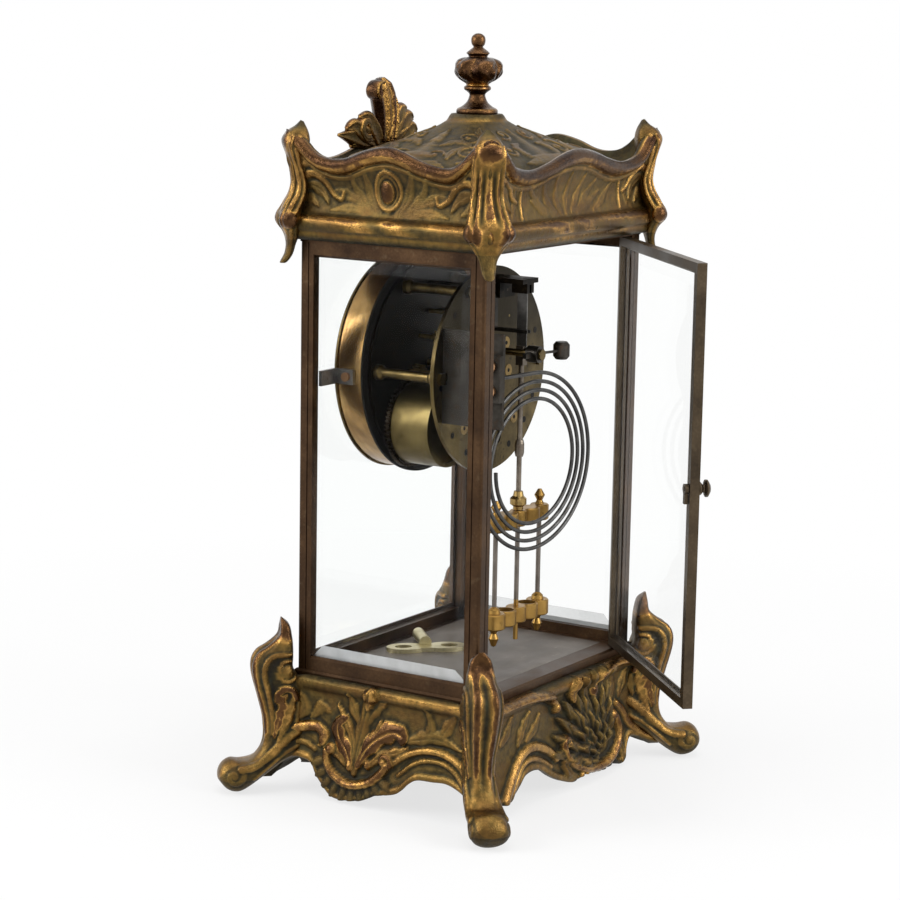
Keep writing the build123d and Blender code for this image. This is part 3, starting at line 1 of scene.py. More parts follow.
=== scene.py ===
import bpy
import numpy as np
from mathutils import Matrix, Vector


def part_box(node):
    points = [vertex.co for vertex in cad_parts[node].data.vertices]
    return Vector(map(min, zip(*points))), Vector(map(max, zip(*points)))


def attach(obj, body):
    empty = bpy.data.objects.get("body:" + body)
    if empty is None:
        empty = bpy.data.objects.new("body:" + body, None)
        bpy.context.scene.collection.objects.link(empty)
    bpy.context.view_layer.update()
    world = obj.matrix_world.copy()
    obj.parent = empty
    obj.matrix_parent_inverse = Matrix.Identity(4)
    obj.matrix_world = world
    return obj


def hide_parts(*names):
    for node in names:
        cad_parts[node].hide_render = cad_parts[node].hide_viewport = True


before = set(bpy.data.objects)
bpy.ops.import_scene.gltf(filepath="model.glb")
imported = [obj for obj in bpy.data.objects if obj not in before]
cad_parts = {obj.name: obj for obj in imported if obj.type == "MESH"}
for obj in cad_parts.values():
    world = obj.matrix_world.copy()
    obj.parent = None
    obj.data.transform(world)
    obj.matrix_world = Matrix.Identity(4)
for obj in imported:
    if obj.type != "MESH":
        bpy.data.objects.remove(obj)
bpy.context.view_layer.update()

MM = 0.001
HX, HY = 92.0, 66.5  # half width and half depth of the case over its posts
BASE_TOP = 72.5
CASE_TOP = 346.0
DIAL_Z = 263.5
DRUM_SKIN, DRUM_END = 66.4 * MM, -37.2 * MM  # radius just inside the drum's skin, place of its rear flange


# ---- Finishes -------------------------------------------------------------------


class Sock:
    """A node socket that can stand in a sum: each operator adds one Math node."""

    def __init__(self, nodes, socket):
        self.nodes, self.socket = nodes, socket

    def math(self, operation, other):
        return self.nodes.node("ShaderNodeMath", {"operation": operation}, {0: self, 1: other})

    def __add__(self, other):
        return self.math("ADD", other)

    def __sub__(self, other):
        return self.math("SUBTRACT", other)

    def __mul__(self, other):
        return self.math("MULTIPLY", other)

    def __pow__(self, other):
        return self.math("POWER", other)

    __rmul__ = __mul__


class Nodes:
    """A node tree that is written as expressions."""

    def __init__(self, tree):
        self.tree = tree
        tree.nodes.clear()

    def node(self, kind, settings=None, inputs=None, out=0):
        """Adds a node: its settings first, then the values or links of its sockets."""
        made = self.tree.nodes.new(kind)
        for key, value in (settings or {}).items():
            if key == "stops":
                ends = made.color_ramp.elements
                ends[0].position, ends[0].color = value[0][0], (*value[0][1], 1.0)
                ends[1].position, ends[1].color = value[-1][0], (*value[-1][1], 1.0)
                for place, colour in value[1:-1]:
                    ends.new(place).color = (*colour, 1.0)
            else:
                setattr(made, key, value)
        for key, value in (inputs or {}).items():
            socket = made.inputs[key]
            if isinstance(value, Sock):
                self.tree.links.new(value.socket, socket)
            elif socket.type == "RGBA":
                socket.default_value = (*value, 1.0)
            else:
                socket.default_value = value
        return Sock(self, made.outputs[out]) if made.outputs else None

    def here(self, centre=(0, 0, 0), stretch=(1, 1, 1)):
        """Object coordinates about a centre in millimetres, stretched along each axis."""
        place = self.node("ShaderNodeTexCoord", out="Object")
        moved = tuple(-c * MM * s for c, s in zip(centre, stretch))
        return self.node("ShaderNodeMapping", {}, {"Vector": place, "Location": moved, "Scale": stretch})

    def axis(self, name, centre=(0, 0, 0)):
        """One object coordinate in metres, X, Y or Z, counted from a centre in millimetres."""
        return self.node("ShaderNodeSeparateXYZ", {}, {0: self.here(centre)}, name)

    def noise(self, size, detail, stretch=(1, 1, 1)):
        """Cloudy noise whose blotches are about size millimetres across."""
        inputs = {"Vector": self.here(stretch=stretch), "Scale": 1.0 / (size * MM), "Detail": detail}
        return self.node("ShaderNodeTexNoise", {}, {**inputs, "Roughness": 0.55})

    def ramp(self, value, stops):
        return self.node("ShaderNodeValToRGB", {"stops": stops}, {0: value})

    def span(self, value, low, high, to_low=0.0, to_high=1.0):
        """Straight-line change of range, held at both ends."""
        inputs = {0: value, 1: low, 2: high, 3: to_low, 4: to_high}
        return self.node("ShaderNodeMapRange", {}, inputs)

    def mix(self, share, first, second):
        """Colour between two colours."""
        return self.node("ShaderNodeMix", {"data_type": "RGBA"}, {0: share, 6: first, 7: second}, 2)

    def bump(self, height, strength, depth):
        """Surface normal from a height; depth in millimetres."""
        inputs = {"Strength": strength, "Distance": depth * MM, "Height": height}
        return self.node("ShaderNodeBump", {}, inputs)

    def seen(self):
        """1 on rays that are seen, straight, mirrored or through glass; 0 on rays that only light."""
        kinds = ("Is Camera Ray", "Is Glossy Ray", "Is Transmission Ray")
        straight, mirrored, through = (self.node("ShaderNodeLightPath", out=kind) for kind in kinds)
        return self.node("ShaderNodeClamp", {}, {0: straight + mirrored + through})

    def blend(self, share, first, second):
        """Shader between two shaders."""
        return self.node("ShaderNodeMixShader", {}, {0: share, 1: first, 2: second})

    def surface(self, shader):
        """Ends a material with its shader and gives the material back."""
        self.node("ShaderNodeOutputMaterial", {}, {"Surface": shader})
        return self.material

    def metal(self, colour, rough, normal, metallic=1.0, **more):
        """Ends a material with a principled surface and gives the material back."""
        inputs = {"Base Color": colour, "Roughness": rough, "Normal": normal, "Metallic": metallic, **more}
        return self.surface(self.node("ShaderNodeBsdfPrincipled", {}, inputs))


def finish(name):
    """Node tree of a new material."""
    material = bpy.data.materials.new(name)
    material.use_nodes = True
    nodes = Nodes(material.node_tree)
    nodes.material = material
    return nodes


def gilt_cast():
    """Old gilding on cast bronze: green-black hollows of patina and painted shade, olive ground, gold slopes,
    brown rubbed crowns.
    """
    f = finish("gilt_cast")
    worn = f.node("ShaderNodeAttribute", {"attribute_name": "worn"}, out="Fac")
    cloud, mottle, grain = f.noise(24, 4), f.noise(3.6, 6), f.noise(0.9, 2)
    place = worn + 0.30 * (cloud - 0.5) + 0.40 * (mottle - 0.5)
    colour = f.ramp(place, [
        (0.00, (0.010, 0.008, 0.005)), (0.20, (0.027, 0.020, 0.008)), (0.32, (0.064, 0.044, 0.015)),
        (0.44, (0.125, 0.080, 0.024)), (0.56, (0.195, 0.112, 0.031)), (0.68, (0.410, 0.226, 0.062)),
        (0.78, (0.125, 0.062, 0.025)), (1.00, (0.036, 0.018, 0.010)),
    ])
    lacquer = f.span(f.noise(13, 6, (0.6, 0.6, 1)), 0.46, 0.60) * f.span(worn, 0.25, 0.45)
    colour = f.mix(lacquer * 0.55, colour, (0.090, 0.044, 0.016))
    verdigris = f.span(f.noise(9, 5), 0.50, 0.66) * f.span(worn, 0.40, 0.20)
    colour = f.mix(verdigris * 0.4, colour, (0.050, 0.052, 0.026))
    rough = f.span(worn, 0.2, 0.7, 0.58, 0.19) + 0.26 * (mottle - 0.5)
    metallic = f.span(worn, 0.05, 0.5, 0.70, 1.0)
    return f.metal(colour, rough, f.bump(grain + 1.2 * mottle, 0.6, 0.45), metallic)


def case_bronze(name, dark, mid, light):
    """Lacquered bronze bar, cloudy, with thin olive gold where it is rubbed."""
    f = finish(name)
    fleck, cloud, grain = f.noise(1.5, 4), f.noise(30, 6), f.noise(0.8, 2)
    colour = f.ramp(fleck * 0.25 + cloud * 0.75, [(0.34, dark), (0.52, mid), (0.72, light)])
    rubbed = f.span(f.noise(6, 6), 0.60, 0.74)
    colour = f.mix(rubbed * 0.12, colour, (0.24, 0.185, 0.110))
    rough = f.span(cloud, 0.3, 0.7, 0.28, 0.46)
    return f.metal(colour, rough, f.bump(grain + 0.4 * fleck, 0.25, 0.25), 0.9)


def drum_brass():
    """Polished brass drum: lacquer clouds and faint turning lines outside; inside and behind its rear flange
    a near-black painted shade.
    """
    f = finish("drum_brass")
    side, back, up = (f.axis(name, (0, 0, DIAL_Z)) for name in "XYZ")
    radius = (side * side + up * up) ** 0.5
    outside = f.span(radius, DRUM_SKIN, DRUM_SKIN + 0.4 * MM) * f.span(back, DRUM_END, DRUM_END - 0.2 * MM)
    cloud, lines, spots = f.noise(20, 4), f.noise(1.6, 2, (0.05, 1, 0.05)), f.noise(3, 4)
    brass = f.ramp(cloud + 0.25 * (lines - 0.5), [
        (0.30, (0.19, 0.110, 0.043)), (0.52, (0.36, 0.225, 0.088)), (0.72, (0.52, 0.350, 0.150)),
    ])
    brass = f.mix(f.span(spots, 0.62, 0.72) * 0.4, brass, (0.15, 0.085, 0.035))
    # near-black inside the drum and behind its rear flange: painted shade
    colour = f.mix(outside, (0.004, 0.0035, 0.0025), brass)
    rough = f.span(outside, 0.0, 1.0, 0.55, 0.24) + 0.14 * (cloud - 0.5)
    return f.metal(colour, rough, f.bump(lines, 0.12, 0.2), outside, **{"Specular IOR Level": 0.1})


def plate_brass(name, dark, light, stain, other=None):
    """Old movement brass: oiled and tarnished in clouds, with dark spots and fine rubbing lines.

    other is (axis, low, high, soft, colour): the band of the piece between two places in millimetres,
    with edges as soft as given, that is of another metal or darker.
    """
    f = finish(name)
    cloud, spots, lines = f.noise(14, 5), f.noise(3.2, 4), f.noise(0.8, 2, (1, 1, 0.1))
    colour = f.ramp(cloud * 0.75 + spots * 0.25, [(0.32, dark), (0.68, light)])
    colour = f.mix(f.span(spots, 0.58, 0.70) * stain, colour, (0.030, 0.019, 0.009))
    if other:
        axis, low, high, soft, metal = other
        at = f.axis(axis)
        band = f.span(at, low * MM, (low + soft) * MM) * f.span(at, high * MM, (high - soft) * MM)
        colour = f.mix(band, colour, f.ramp(cloud, [(0.3, tuple(0.6 * c for c in metal)), (0.7, metal)]))
    rough = f.span(cloud, 0.3, 0.7, 0.48, 0.28)
    return f.metal(colour, rough, f.bump(lines + 0.5 * spots, 0.18, 0.2))


def steel(name, dark, light, rust, dull=0.0):
    """Grey steel with soft clouds and brown bloom; dull adds to its roughness."""
    f = finish(name)
    cloud, bloom, grain = f.noise(10, 4), f.noise(4, 5), f.noise(0.7, 2)
    colour = f.ramp(cloud, [(0.32, dark), (0.68, light)])
    colour = f.mix(f.span(bloom, 0.55, 0.70) * rust, colour, (0.085, 0.050, 0.028))
    return f.metal(colour, f.span(bloom, 0.3, 0.7, 0.30 + dull, 0.50 + dull), f.bump(grain, 0.2, 0.2), 0.9)


def floor_sheet():
    """Grey-brown metal sheet, clouded, with drag marks and a few pale scratches."""
    f = finish("floor_sheet")
    cloud, drag, fine = f.noise(30, 5), f.noise(9, 5, (0.25, 1, 1)), f.noise(1.4, 3, (0.12, 1, 1))
    colour = f.ramp(cloud * 0.6 + drag * 0.4, [
        (0.34, (0.085, 0.070, 0.058)), (0.52, (0.150, 0.130, 0.112)), (0.70, (0.230, 0.205, 0.180)),
    ])
    scratch = f.span(fine, 0.66, 0.74) * f.span(cloud, 0.42, 0.56)
    colour = f.mix(scratch * 0.6, colour, (0.42, 0.39, 0.34))
    return f.metal(colour, f.span(drag, 0.3, 0.7, 0.40, 0.60), f.bump(fine, 0.15, 0.2), 0.6)


def enamel():
    """Cream enamel with a faint warm cloud and a soft gloss."""
    f = finish("dial_enamel")
    cloud = f.noise(22, 4)
    colour = f.ramp(cloud, [(0.3, (0.72, 0.66, 0.52)), (0.7, (0.82, 0.78, 0.66))])
    return f.metal(colour, f.span(cloud, 0.3, 0.7, 0.22, 0.30), f.bump(f.noise(6, 2), 0.05, 0.2), 0.0)


def blued():
    """Hands of steel blued almost black."""
    f = finish("blued_steel")
    cloud = f.noise(5, 3)
    colour = f.ramp(cloud, [(0.3, (0.008, 0.009, 0.016)), (0.7, (0.020, 0.024, 0.045))])
    return f.metal(colour, f.span(cloud, 0.3, 0.7, 0.25, 0.38), f.bump(f.noise(0.6, 2), 0.1, 0.1))


def glass():
    """Thin clear plate glass: light goes straight through, with a faint gloss and a painted pale reflection
    on the bevels.
    """
    f = finish("plate_glass")
    smear = f.noise(24, 4, (1, 1, 0.5))
    clear = f.node("ShaderNodeBsdfTransparent", {}, {"Color": (0.994, 0.998, 0.996)})
    shine = {"Color": (1, 1, 1), "Roughness": f.span(smear, 0.5, 0.8, 0.01, 0.06)}
    gloss = f.node("ShaderNodeBsdfGlossy", {}, shine)
    body = f.blend(0.05 * f.node("ShaderNodeFresnel", {}, {"IOR": 1.45}), clear, gloss)
    # the pale diffuse on the bevels is a painted reflection of the bright surroundings
    ground = f.node("ShaderNodeBsdfDiffuse", {}, {"Color": (0.86, 0.89, 0.90)})
    bevel = f.node("ShaderNodeAttribute", {"attribute_name": "bevel"}, out="Fac")
    return f.surface(f.blend(bevel * f.span(smear, 0.3, 0.7, 0.40, 0.66), body, ground))


GILT = gilt_cast()
BRONZE = case_bronze("case_bronze", (0.030, 0.016, 0.009), (0.058, 0.031, 0.015), (0.102, 0.056, 0.026))
DOOR = case_bronze("door_bronze", (0.044, 0.032, 0.021), (0.078, 0.056, 0.034), (0.135, 0.102, 0.066))
DRUM = drum_brass()
PLATE = plate_brass("plate_brass", (0.040, 0.028, 0.011), (0.165, 0.115, 0.044), 0.8)
BACK = plate_brass("back_plate_brass", (0.055, 0.040, 0.016), (0.185, 0.132, 0.050), 0.8,
                   ("Z", 245, 400, 50, (0.036, 0.027, 0.013)))
# near-black brass for the front plate, back cock and plate holes: painted shade of the movement's inside and
# of the holes, over some tarnish
PAINTED_SHADE_BRASS = plate_brass("painted_shade_brass", (0.003, 0.0025, 0.0018), (0.011, 0.008, 0.005), 0.8)
# wheel brass is lighter than the plates' so that the wheels show in the movement's shade: painted light
WHEEL_PAINTED_LIGHT = plate_brass("wheel_brass_painted_light", (0.150, 0.108, 0.042), (0.400, 0.290, 0.115), 0.5)
BARREL = plate_brass("barrel_brass", (0.075, 0.054, 0.020), (0.185, 0.140, 0.056), 0.4,
                     ("Y", -34, -24, 0.1, (0.024, 0.016, 0.008)))
YOKE = plate_brass("yoke_gilt", (0.230, 0.128, 0.034), (0.430, 0.258, 0.072), 0.35,
                   ("Z", 119.2, 166.3, 0.1, (0.215, 0.185, 0.160)))
NUT = plate_brass("nut_brass", (0.200, 0.125, 0.045), (0.420, 0.290, 0.110), 0.4)
KEY = plate_brass("key_brass", (0.42, 0.36, 0.20), (0.66, 0.60, 0.38), 0.25)
COPPER = plate_brass("screw_copper", (0.28, 0.145, 0.070), (0.48, 0.275, 0.150), 0.3)
STEEL = steel("grey_steel", (0.105, 0.100, 0.095), (0.230, 0.222, 0.210), 0.35)
GONG = steel("gong_steel", (0.042, 0.042, 0.042), (0.105, 0.102, 0.098), 0.25)
BLACK = steel("dark_steel", (0.020, 0.018, 0.016), (0.070, 0.062, 0.052), 0.5)
ROD = steel("rod_steel", (0.110, 0.090, 0.070), (0.225, 0.190, 0.155), 0.35)
CLAMP = steel("clamp_steel", (0.026, 0.023, 0.019), (0.060, 0.053, 0.045), 0.5, 0.32)
FLOOR = floor_sheet()
ENAMEL = enamel()
BLUED = blued()
GLASS = glass()

WEARS = {
    GLASS: ["front_glass", "left_glass", "right_glass", "door_glass"],
    BRONZE: ["post_front_left", "post_front_right", "post_rear_left", "post_rear_right", "lower_frame",
             "upper_frame"],
    DOOR: ["door_frame", "hinge_pins", "door_knob"],
    FLOOR: ["floor_plate"],
    DRUM: ["dial_drum"],
    BACK: ["back_plate"],
    PLATE: ["pillars", "pillar_nuts", "dial_bezel", "hammer_stud", "cannon_pinion"],
    PAINTED_SHADE_BRASS: ["front_plate", "back_cock"],
    WHEEL_PAINTED_LIGHT: ["second_wheel", "centre_wheel", "third_wheel", "escape_wheel", "pin_wheel",
            "warning_wheel", "fly", "minute_wheel", "hour_wheel", "time_click", "strike_click"],
    BARREL: ["time_barrel", "strike_barrel"],
    YOKE: ["pendulum_bob"],
    NUT: ["rating_nut"],
    KEY: ["winding_key"],
    COPPER: ["gong_screws", "strap_screws"],
    CLAMP: ["gong_clamp", "gong_bracket"],
    STEEL: ["movement_straps", "suspension_spring", "finial_nut"],
    GONG: ["gong"],
    BLACK: ["hammer", "verge", "time_arbor", "strike_arbor"],
    ROD: ["pendulum_rod"],
    ENAMEL: ["dial"],
    BLUED: ["hour_hand", "minute_hand"],
    GILT: ["base_casting", "top_casting", "dome", "front_crest", "finial"],
}
for material, names in WEARS.items():
    for name in names:
        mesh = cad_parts[name].data
        mesh.materials.clear()
        mesh.materials.append(material)

SIDE_PANES = ("left_glass", "right_glass")
FAINT = 0.03  # share of the painted pale reflection on bevels that catch no light
for name in WEARS[GLASS]:
    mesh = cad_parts[name].data
    if "custom_normal" in mesh.attributes:
        mesh.attributes.remove(mesh.attributes["custom_normal"])
    mesh.polygons.foreach_set("use_smooth", np.zeros(len(mesh.polygons), bool))
    normals = np.zeros(3 * len(mesh.polygons))
    mesh.polygons.foreach_get("normal", normals)
    normals = normals.reshape(-1, 3)
    area = np.zeros(len(normals))
    mesh.polygons.foreach_get("area", area)
    lean = np.abs(normals @ normals[area.argmax()])
    bevelled = (lean > 0.5) & (lean < 0.9995)
    # the downward bevels of the side panes get the full painted reflection, the others a faint share
    lit = (normals[:, 2] < -0.02) & (name in SIDE_PANES)
    pale = bevelled * np.where(lit, 1.0, FAINT)
    mesh.attributes.new("bevel", "FLOAT", "FACE").data.foreach_set("value", pale.astype(np.float32))


# ---- Shapes ---------------------------------------------------------------------

FINE_LINE = 40  # a line of at least this many points is drawn as it is


def bell(value, middle, wide):
    """Bell curve of height 1 about a middle."""
    return np.exp(-(((value - middle) / wide) ** 2))


def half_round(value, middle, wide):
    """Half circle of height 1 about a middle, 0 outside its half width."""
    return np.sqrt(np.clip(1 - ((value - middle) / wide) ** 2, 0, 1))


def grow(value, start, end):
    """0 before the start, 1 past the end and straight between; the end may lie below the start."""
    return np.clip((value - start) / (end - start), 0, 1)


def mirrored(half):
    """Points of a line that is alike on both sides of zero, from those of its right half."""
    return [(-a, z) for a, z in half[::-1] if a] + half


def faced(verts, quads, tris, worn):
    """A closed skin with its faces turned outwards, told by the sign of the volume they enclose."""
    all_tris = np.concatenate([quads[:, [0, 1, 2]], quads[:, [0, 2, 3]], tris])
    a, b, c = (verts[all_tris[:, i]] for i in range(3))
    if (a * np.cross(b, c)).sum() < 0:
        quads, tris = quads[:, ::-1], tris[:, ::-1]
    return verts, quads, tris, worn


def grid_faces(rows, n, m):
    """Faces of so many rows in a grid of n by m points whose columns, and last and first row, join round."""
    i, j = np.meshgrid(np.arange(rows), np.arange(m), indexing="ij")
    p, q = (i + 1) % n, (j + 1) % m
    return np.stack([i * m + j, i * m + q, p * m + q, p * m + j], -1).reshape(-1, 4)


def ring_skin(points, worn):
    """Closed skin of a grid whose rows and columns both join round, like a tyre."""
    n, m = points.shape[:2]
    return faced(points.reshape(-1, 3), grid_faces(n, n, m), np.zeros((0, 3), int), worn.ravel())


def tube_skin(points, worn):
    """Closed skin of a grid whose columns join round; each end row is closed by a fan to its middle."""
    n, m = points.shape[:2]
    verts = np.concatenate([points.reshape(-1, 3), points[[0, -1]].mean(1)])
    worn = np.concatenate([worn.ravel(), worn[[0, -1]].mean(1)])
    a, last, middle = np.arange(m), (n - 1) * m, np.full(m, n * m)
    b = (a + 1) % m
    tris = np.concatenate([np.stack([middle, b, a], -1), np.stack([middle + 1, a + last, b + last], -1)])
    return faced(verts, grid_faces(n - 1, n, m), tris, worn)


def placed(name, data):
    """A new object at the origin, linked to the scene."""
    made = bpy.data.objects.new(name, data)
    bpy.context.scene.collection.objects.link(made)
    return made


def piece(name, skins, material, stands_for=(), smooth=True):
    """One object made of closed skins, with the wear and painted shade value kept at each point."""
    start = np.cumsum([0] + [len(s[0]) for s in skins])
    verts, worn = (np.concatenate([s[i] for s in skins]) for i in (0, 3))
    quads, tris = (np.concatenate([s[i] + k for s, k in zip(skins, start)]) for i in (1, 2))
    mesh = bpy.data.meshes.new(name)
    mesh.vertices.add(len(verts))
    mesh.vertices.foreach_set("co", (verts * MM).ravel())
    loops = np.concatenate([quads.ravel(), tris.ravel()]).astype(np.int32)
    sizes = np.concatenate([np.full(len(quads), 4), np.full(len(tris), 3)])
    mesh.loops.add(len(loops))
    mesh.loops.foreach_set("vertex_index", loops)
    mesh.polygons.add(len(sizes))
    mesh.polygons.foreach_set("loop_start", (np.cumsum(sizes) - sizes).astype(np.int32))
    mesh.polygons.foreach_set("use_smooth", np.full(len(sizes), smooth))
    mesh.update(calc_edges=True)
    worn = np.clip(worn, 0, 1).astype(np.float32)
    mesh.attributes.new("worn", "FLOAT", "POINT").data.foreach_set("value", worn)
    mesh.materials.append(material)
    made = placed(name, mesh)
    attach(made, "case")
    if stands_for:
        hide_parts(*stands_for)


def curve(points, count):
    """Smooth curve through control points: a Catmull-Rom spline at even steps of its parameter."""
    p = np.asarray(points, float)
    p = np.concatenate([2 * p[:1] - p[1:2], p, 2 * p[-1:] - p[-2:-1]])
    t = np.linspace(0, len(points) - 1 - 1e-9, count)
    i = t.astype(int)
    f = (t - i)[:, None]
    a, b, c, d = p[i], p[i + 1], p[i + 2], p[i + 3]
    return 0.5 * (2 * b + (c - a) * f + (2 * a - 5 * b + 4 * c - d) * f**2 + (3 * b - a - 3 * c + d) * f**3)


def along(points, x):
    """Height of a smooth curve over x, from control points in order of x."""
    fine = curve(points, 40 * len(points))
    return np.interp(x, np.maximum.accumulate(fine[:, 0]), fine[:, 1])


def spiral(centre, radius, start, turns, close=0.12):
    """Points of a spiral that winds in from a radius at a start angle, in degrees."""
    t = np.linspace(0, 1, 44)
    turn = np.radians(start) + 2 * np.pi * turns * t
    r = radius * (1 - (1 - close) * t**0.9)
    return np.stack([centre[0] + r * np.cos(turn), centre[1] + r * np.sin(turn)], -1)


class Relief:
    """Height and tone of cast ornament over a panel with coordinates a across and z up.

    Each stroke lays a form over the panel, and where it is the highest its tone takes over,
    stronger towards its crown. Tones: 0.15 green-black hollow of patina and painted shade, 0.36 olive ground,
    0.66 gold, 0.9 rubbed brown.
    """

    def __init__(self, a, z, ground=0.36):
        shape = np.broadcast(a, z).shape
        self.a, self.z = np.broadcast_to(a, shape), np.broadcast_to(z, shape)
        self.h, self.t, self.ground = np.zeros(shape), np.full(shape, ground), ground

    def near(self, line, reach):
        """Points within reach of a line: distance from it and place along it from 0 to 1."""
        low, high = line.min(0) - reach, line.max(0) + reach
        pick = (self.a > low[0]) & (self.a < high[0]) & (self.z > low[1]) & (self.z < high[1])
        p = np.stack([self.a[pick], self.z[pick]], -1)[:, None]
        start, step = line[:-1], np.diff(line, axis=0)
        t = np.clip(((p - start) * step).sum(-1) / np.maximum((step**2).sum(-1), 1e-9), 0, 1)
        off = p - start - t[..., None] * step
        dist = np.hypot(off[..., 0], off[..., 1])
        best = dist.argmin(1)
        row = np.arange(len(best))
        return pick, dist[row, best], (best + t[row, best]) / len(step)

    def lay(self, pick, share, height, tone):
        """Lays a form whose height at each point is a share of its full height."""
        rise = share * height
        over = rise > self.h[pick]
        self.t[pick] = np.where(over, self.ground + (tone - self.ground) * share**0.8, self.t[pick])
        self.h[pick] = np.where(over, rise, self.h[pick])

    def roll(self, points, width, height, ends=(1.0, 1.0), tone=0.66):
        """Half-round ridge along a curve; its half width runs from one share to the other."""
        line = curve(points, 12 * len(points)) if len(points) < FINE_LINE else points
        pick, d, s = self.near(line, width * max(ends))
        w = width * (ends[0] + (ends[1] - ends[0]) * s)
        self.lay(pick, half_round(d, 0, w) * np.sqrt(w / width / max(ends)), height, tone)

    def volute(self, centre, radius, width, height, start, turns, tone=0.66):
        """Ridge that winds into a round eye."""
        self.roll(spiral(centre, radius, start, turns), width, height, (1.0, 0.7), tone)
        self.boss(centre, (0.34 * radius, 0.34 * radius), height * 1.1, tone)

    def boss(self, centre, radii, height, tone=0.66):
        """Half ellipsoid."""
        q = ((self.a - centre[0]) / radii[0]) ** 2 + ((self.z - centre[1]) / radii[1]) ** 2
        self.lay(q < 1, np.sqrt(1 - q[q < 1]), height, tone)

    def leaf(self, points, width, height, lobes=4, tone=0.52):
        """Acanthus leaf from root to tip: a softly lobed edge, veins that show near it, a sunk midrib."""
        line = curve(points, 12 * len(points))
        pick, d, s = self.near(line, 1.1 * width)
        swell = np.sin(np.pi * np.clip(s, 0.02, 0.98) ** 0.75) ** 0.6
        w = width * swell * (0.88 + 0.12 * np.cos(2 * np.pi * lobes * s)) + 0.3
        q = np.clip(d / w, 0, 1)
        vein = 1 - 0.30 * q * (0.5 + 0.5 * np.cos(2 * np.pi * (lobes * s - 0.45 * q)))
        rib = 1 - 0.30 * bell(d, 0, 0.08 * width + 0.35) * (s < 0.93)
        self.lay(pick, np.sqrt(1 - q**2) * vein * rib, height, tone)

    def leaves(self, rows, flip=1):
        """Leaves: a row has width, height, lobes and tone, then a and z of each point; flip mirrors them."""
        for row in rows:
            self.leaf(np.reshape(row[4:], (-1, 2)) * (flip, 1), *row[:4])

    def rolls(self, rows, flip=1):
        """Ridges: a row has width, height, two end shares and tone, then a and z of each point."""
        for row in rows:
            self.roll(np.reshape(row[5:], (-1, 2)) * (flip, 1), *row[:2], row[2:4], row[4])

    def fan(self, centre, near, far, start, end, flutes, height, wave=0.07, tone=0.42, ruffles=0):
        """Shell: round flutes that spread from a centre between two angles, with a scalloped rim.

        Ruffles are waves across the flutes, so many from the centre to the rim, set off from flute to flute.
        """
        x, z = self.a - centre[0], self.z - centre[1]
        f = np.mod(np.degrees(np.arctan2(z, x)) - start, 360.0) / np.mod(end - start, 360.0)
        rim = far * (1 + wave * np.cos(2 * np.pi * flutes * (f - 0.5 / flutes)))
        g = (np.hypot(x, z) - near) / (rim - near)
        pick = (f < 1) & (g > 0) & (g < 1)
        f, g = f[pick], g[pick]
        flute = 0.35 + 0.65 * np.abs(np.sin(np.pi * flutes * f)) ** 0.7
        if ruffles:
            flute *= 0.84 + 0.16 * np.cos(2 * np.pi * (ruffles * g + 0.38 * np.floor(flutes * f)))
        self.lay(pick, flute * np.sqrt(np.clip(1 - (2 * g - 1.15) ** 2 * 0.75, 0, 1)), height, tone)

    def cut(self, points, width, depth):
        """Sunk line along a curve."""
        line = curve(points, 12 * len(points))
        pick, d, s = self.near(line, 2.5 * width)
        self.h[pick] -= depth * bell(d, 0, width)

    def tone_with_wear_and_shade(self, rubbed=0.10, patina_and_shade=0.34):
        """Wear and shade value: the tone, raised on ridges where they are rubbed and lowered in hollows
        against the mean height around, where the lowering is patina with painted shade.
        """
        rows, columns = (-3, -1, 0, 1, 3), (-4, -2, 0, 2, 4)
        around = [np.roll(self.h, (i, j), (0, 1)) for i in rows for j in columns]
        bend = np.tanh((self.h - sum(around) / len(around)) / 0.8)
        # lowering the tone in hollows paints shade there, together with their patina
        return self.t + np.where(bend > 0, rubbed, patina_and_shade) * bend


# each side of the case: outward direction, direction along it, half of the case either way
SIDES = [((1, 0), (0, 1), HX, HY), ((0, 1), (-1, 0), HY, HX),
         ((-1, 0), (0, -1), HX, HY), ((0, -1), (1, 0), HY, HX)]


def round_case(panel, counts):
    """Closed skin carried round the four sides of the case and mitred at the corners.

    panel(side, half, s) gives for the columns at s, from -1 to 1 along a side, the plain
    projection, the relief on top of it, the height and the wear and painted shade of each row.
    """
    parts = []
    for k, (n, t, half_n, half_t) in enumerate(SIDES):
        s = np.linspace(-1, 1, counts[k % 2], endpoint=False)[None, :]
        out, lift, z, worn = panel(k, half_t, s)
        reach, run = half_n + out + lift, s * (half_t + out)
        parts.append((np.stack([n[0] * reach + t[0] * run, n[1] * reach + t[1] * run, z], -1), worn))
    return ring_skin(*(np.concatenate([part[i] for part in parts], 1) for i in (0, 1)))


def with_back(face, back_out, back_z, tone):
    """Rows of a panel's face, as round_case wants them, followed by the plain rows of its back."""
    flat = np.zeros_like(back_out)
    return [np.concatenate(pair) for pair in zip(face, (back_out, flat, back_z, flat + tone))]


# ---- Base -----------------------------------------------------------------------

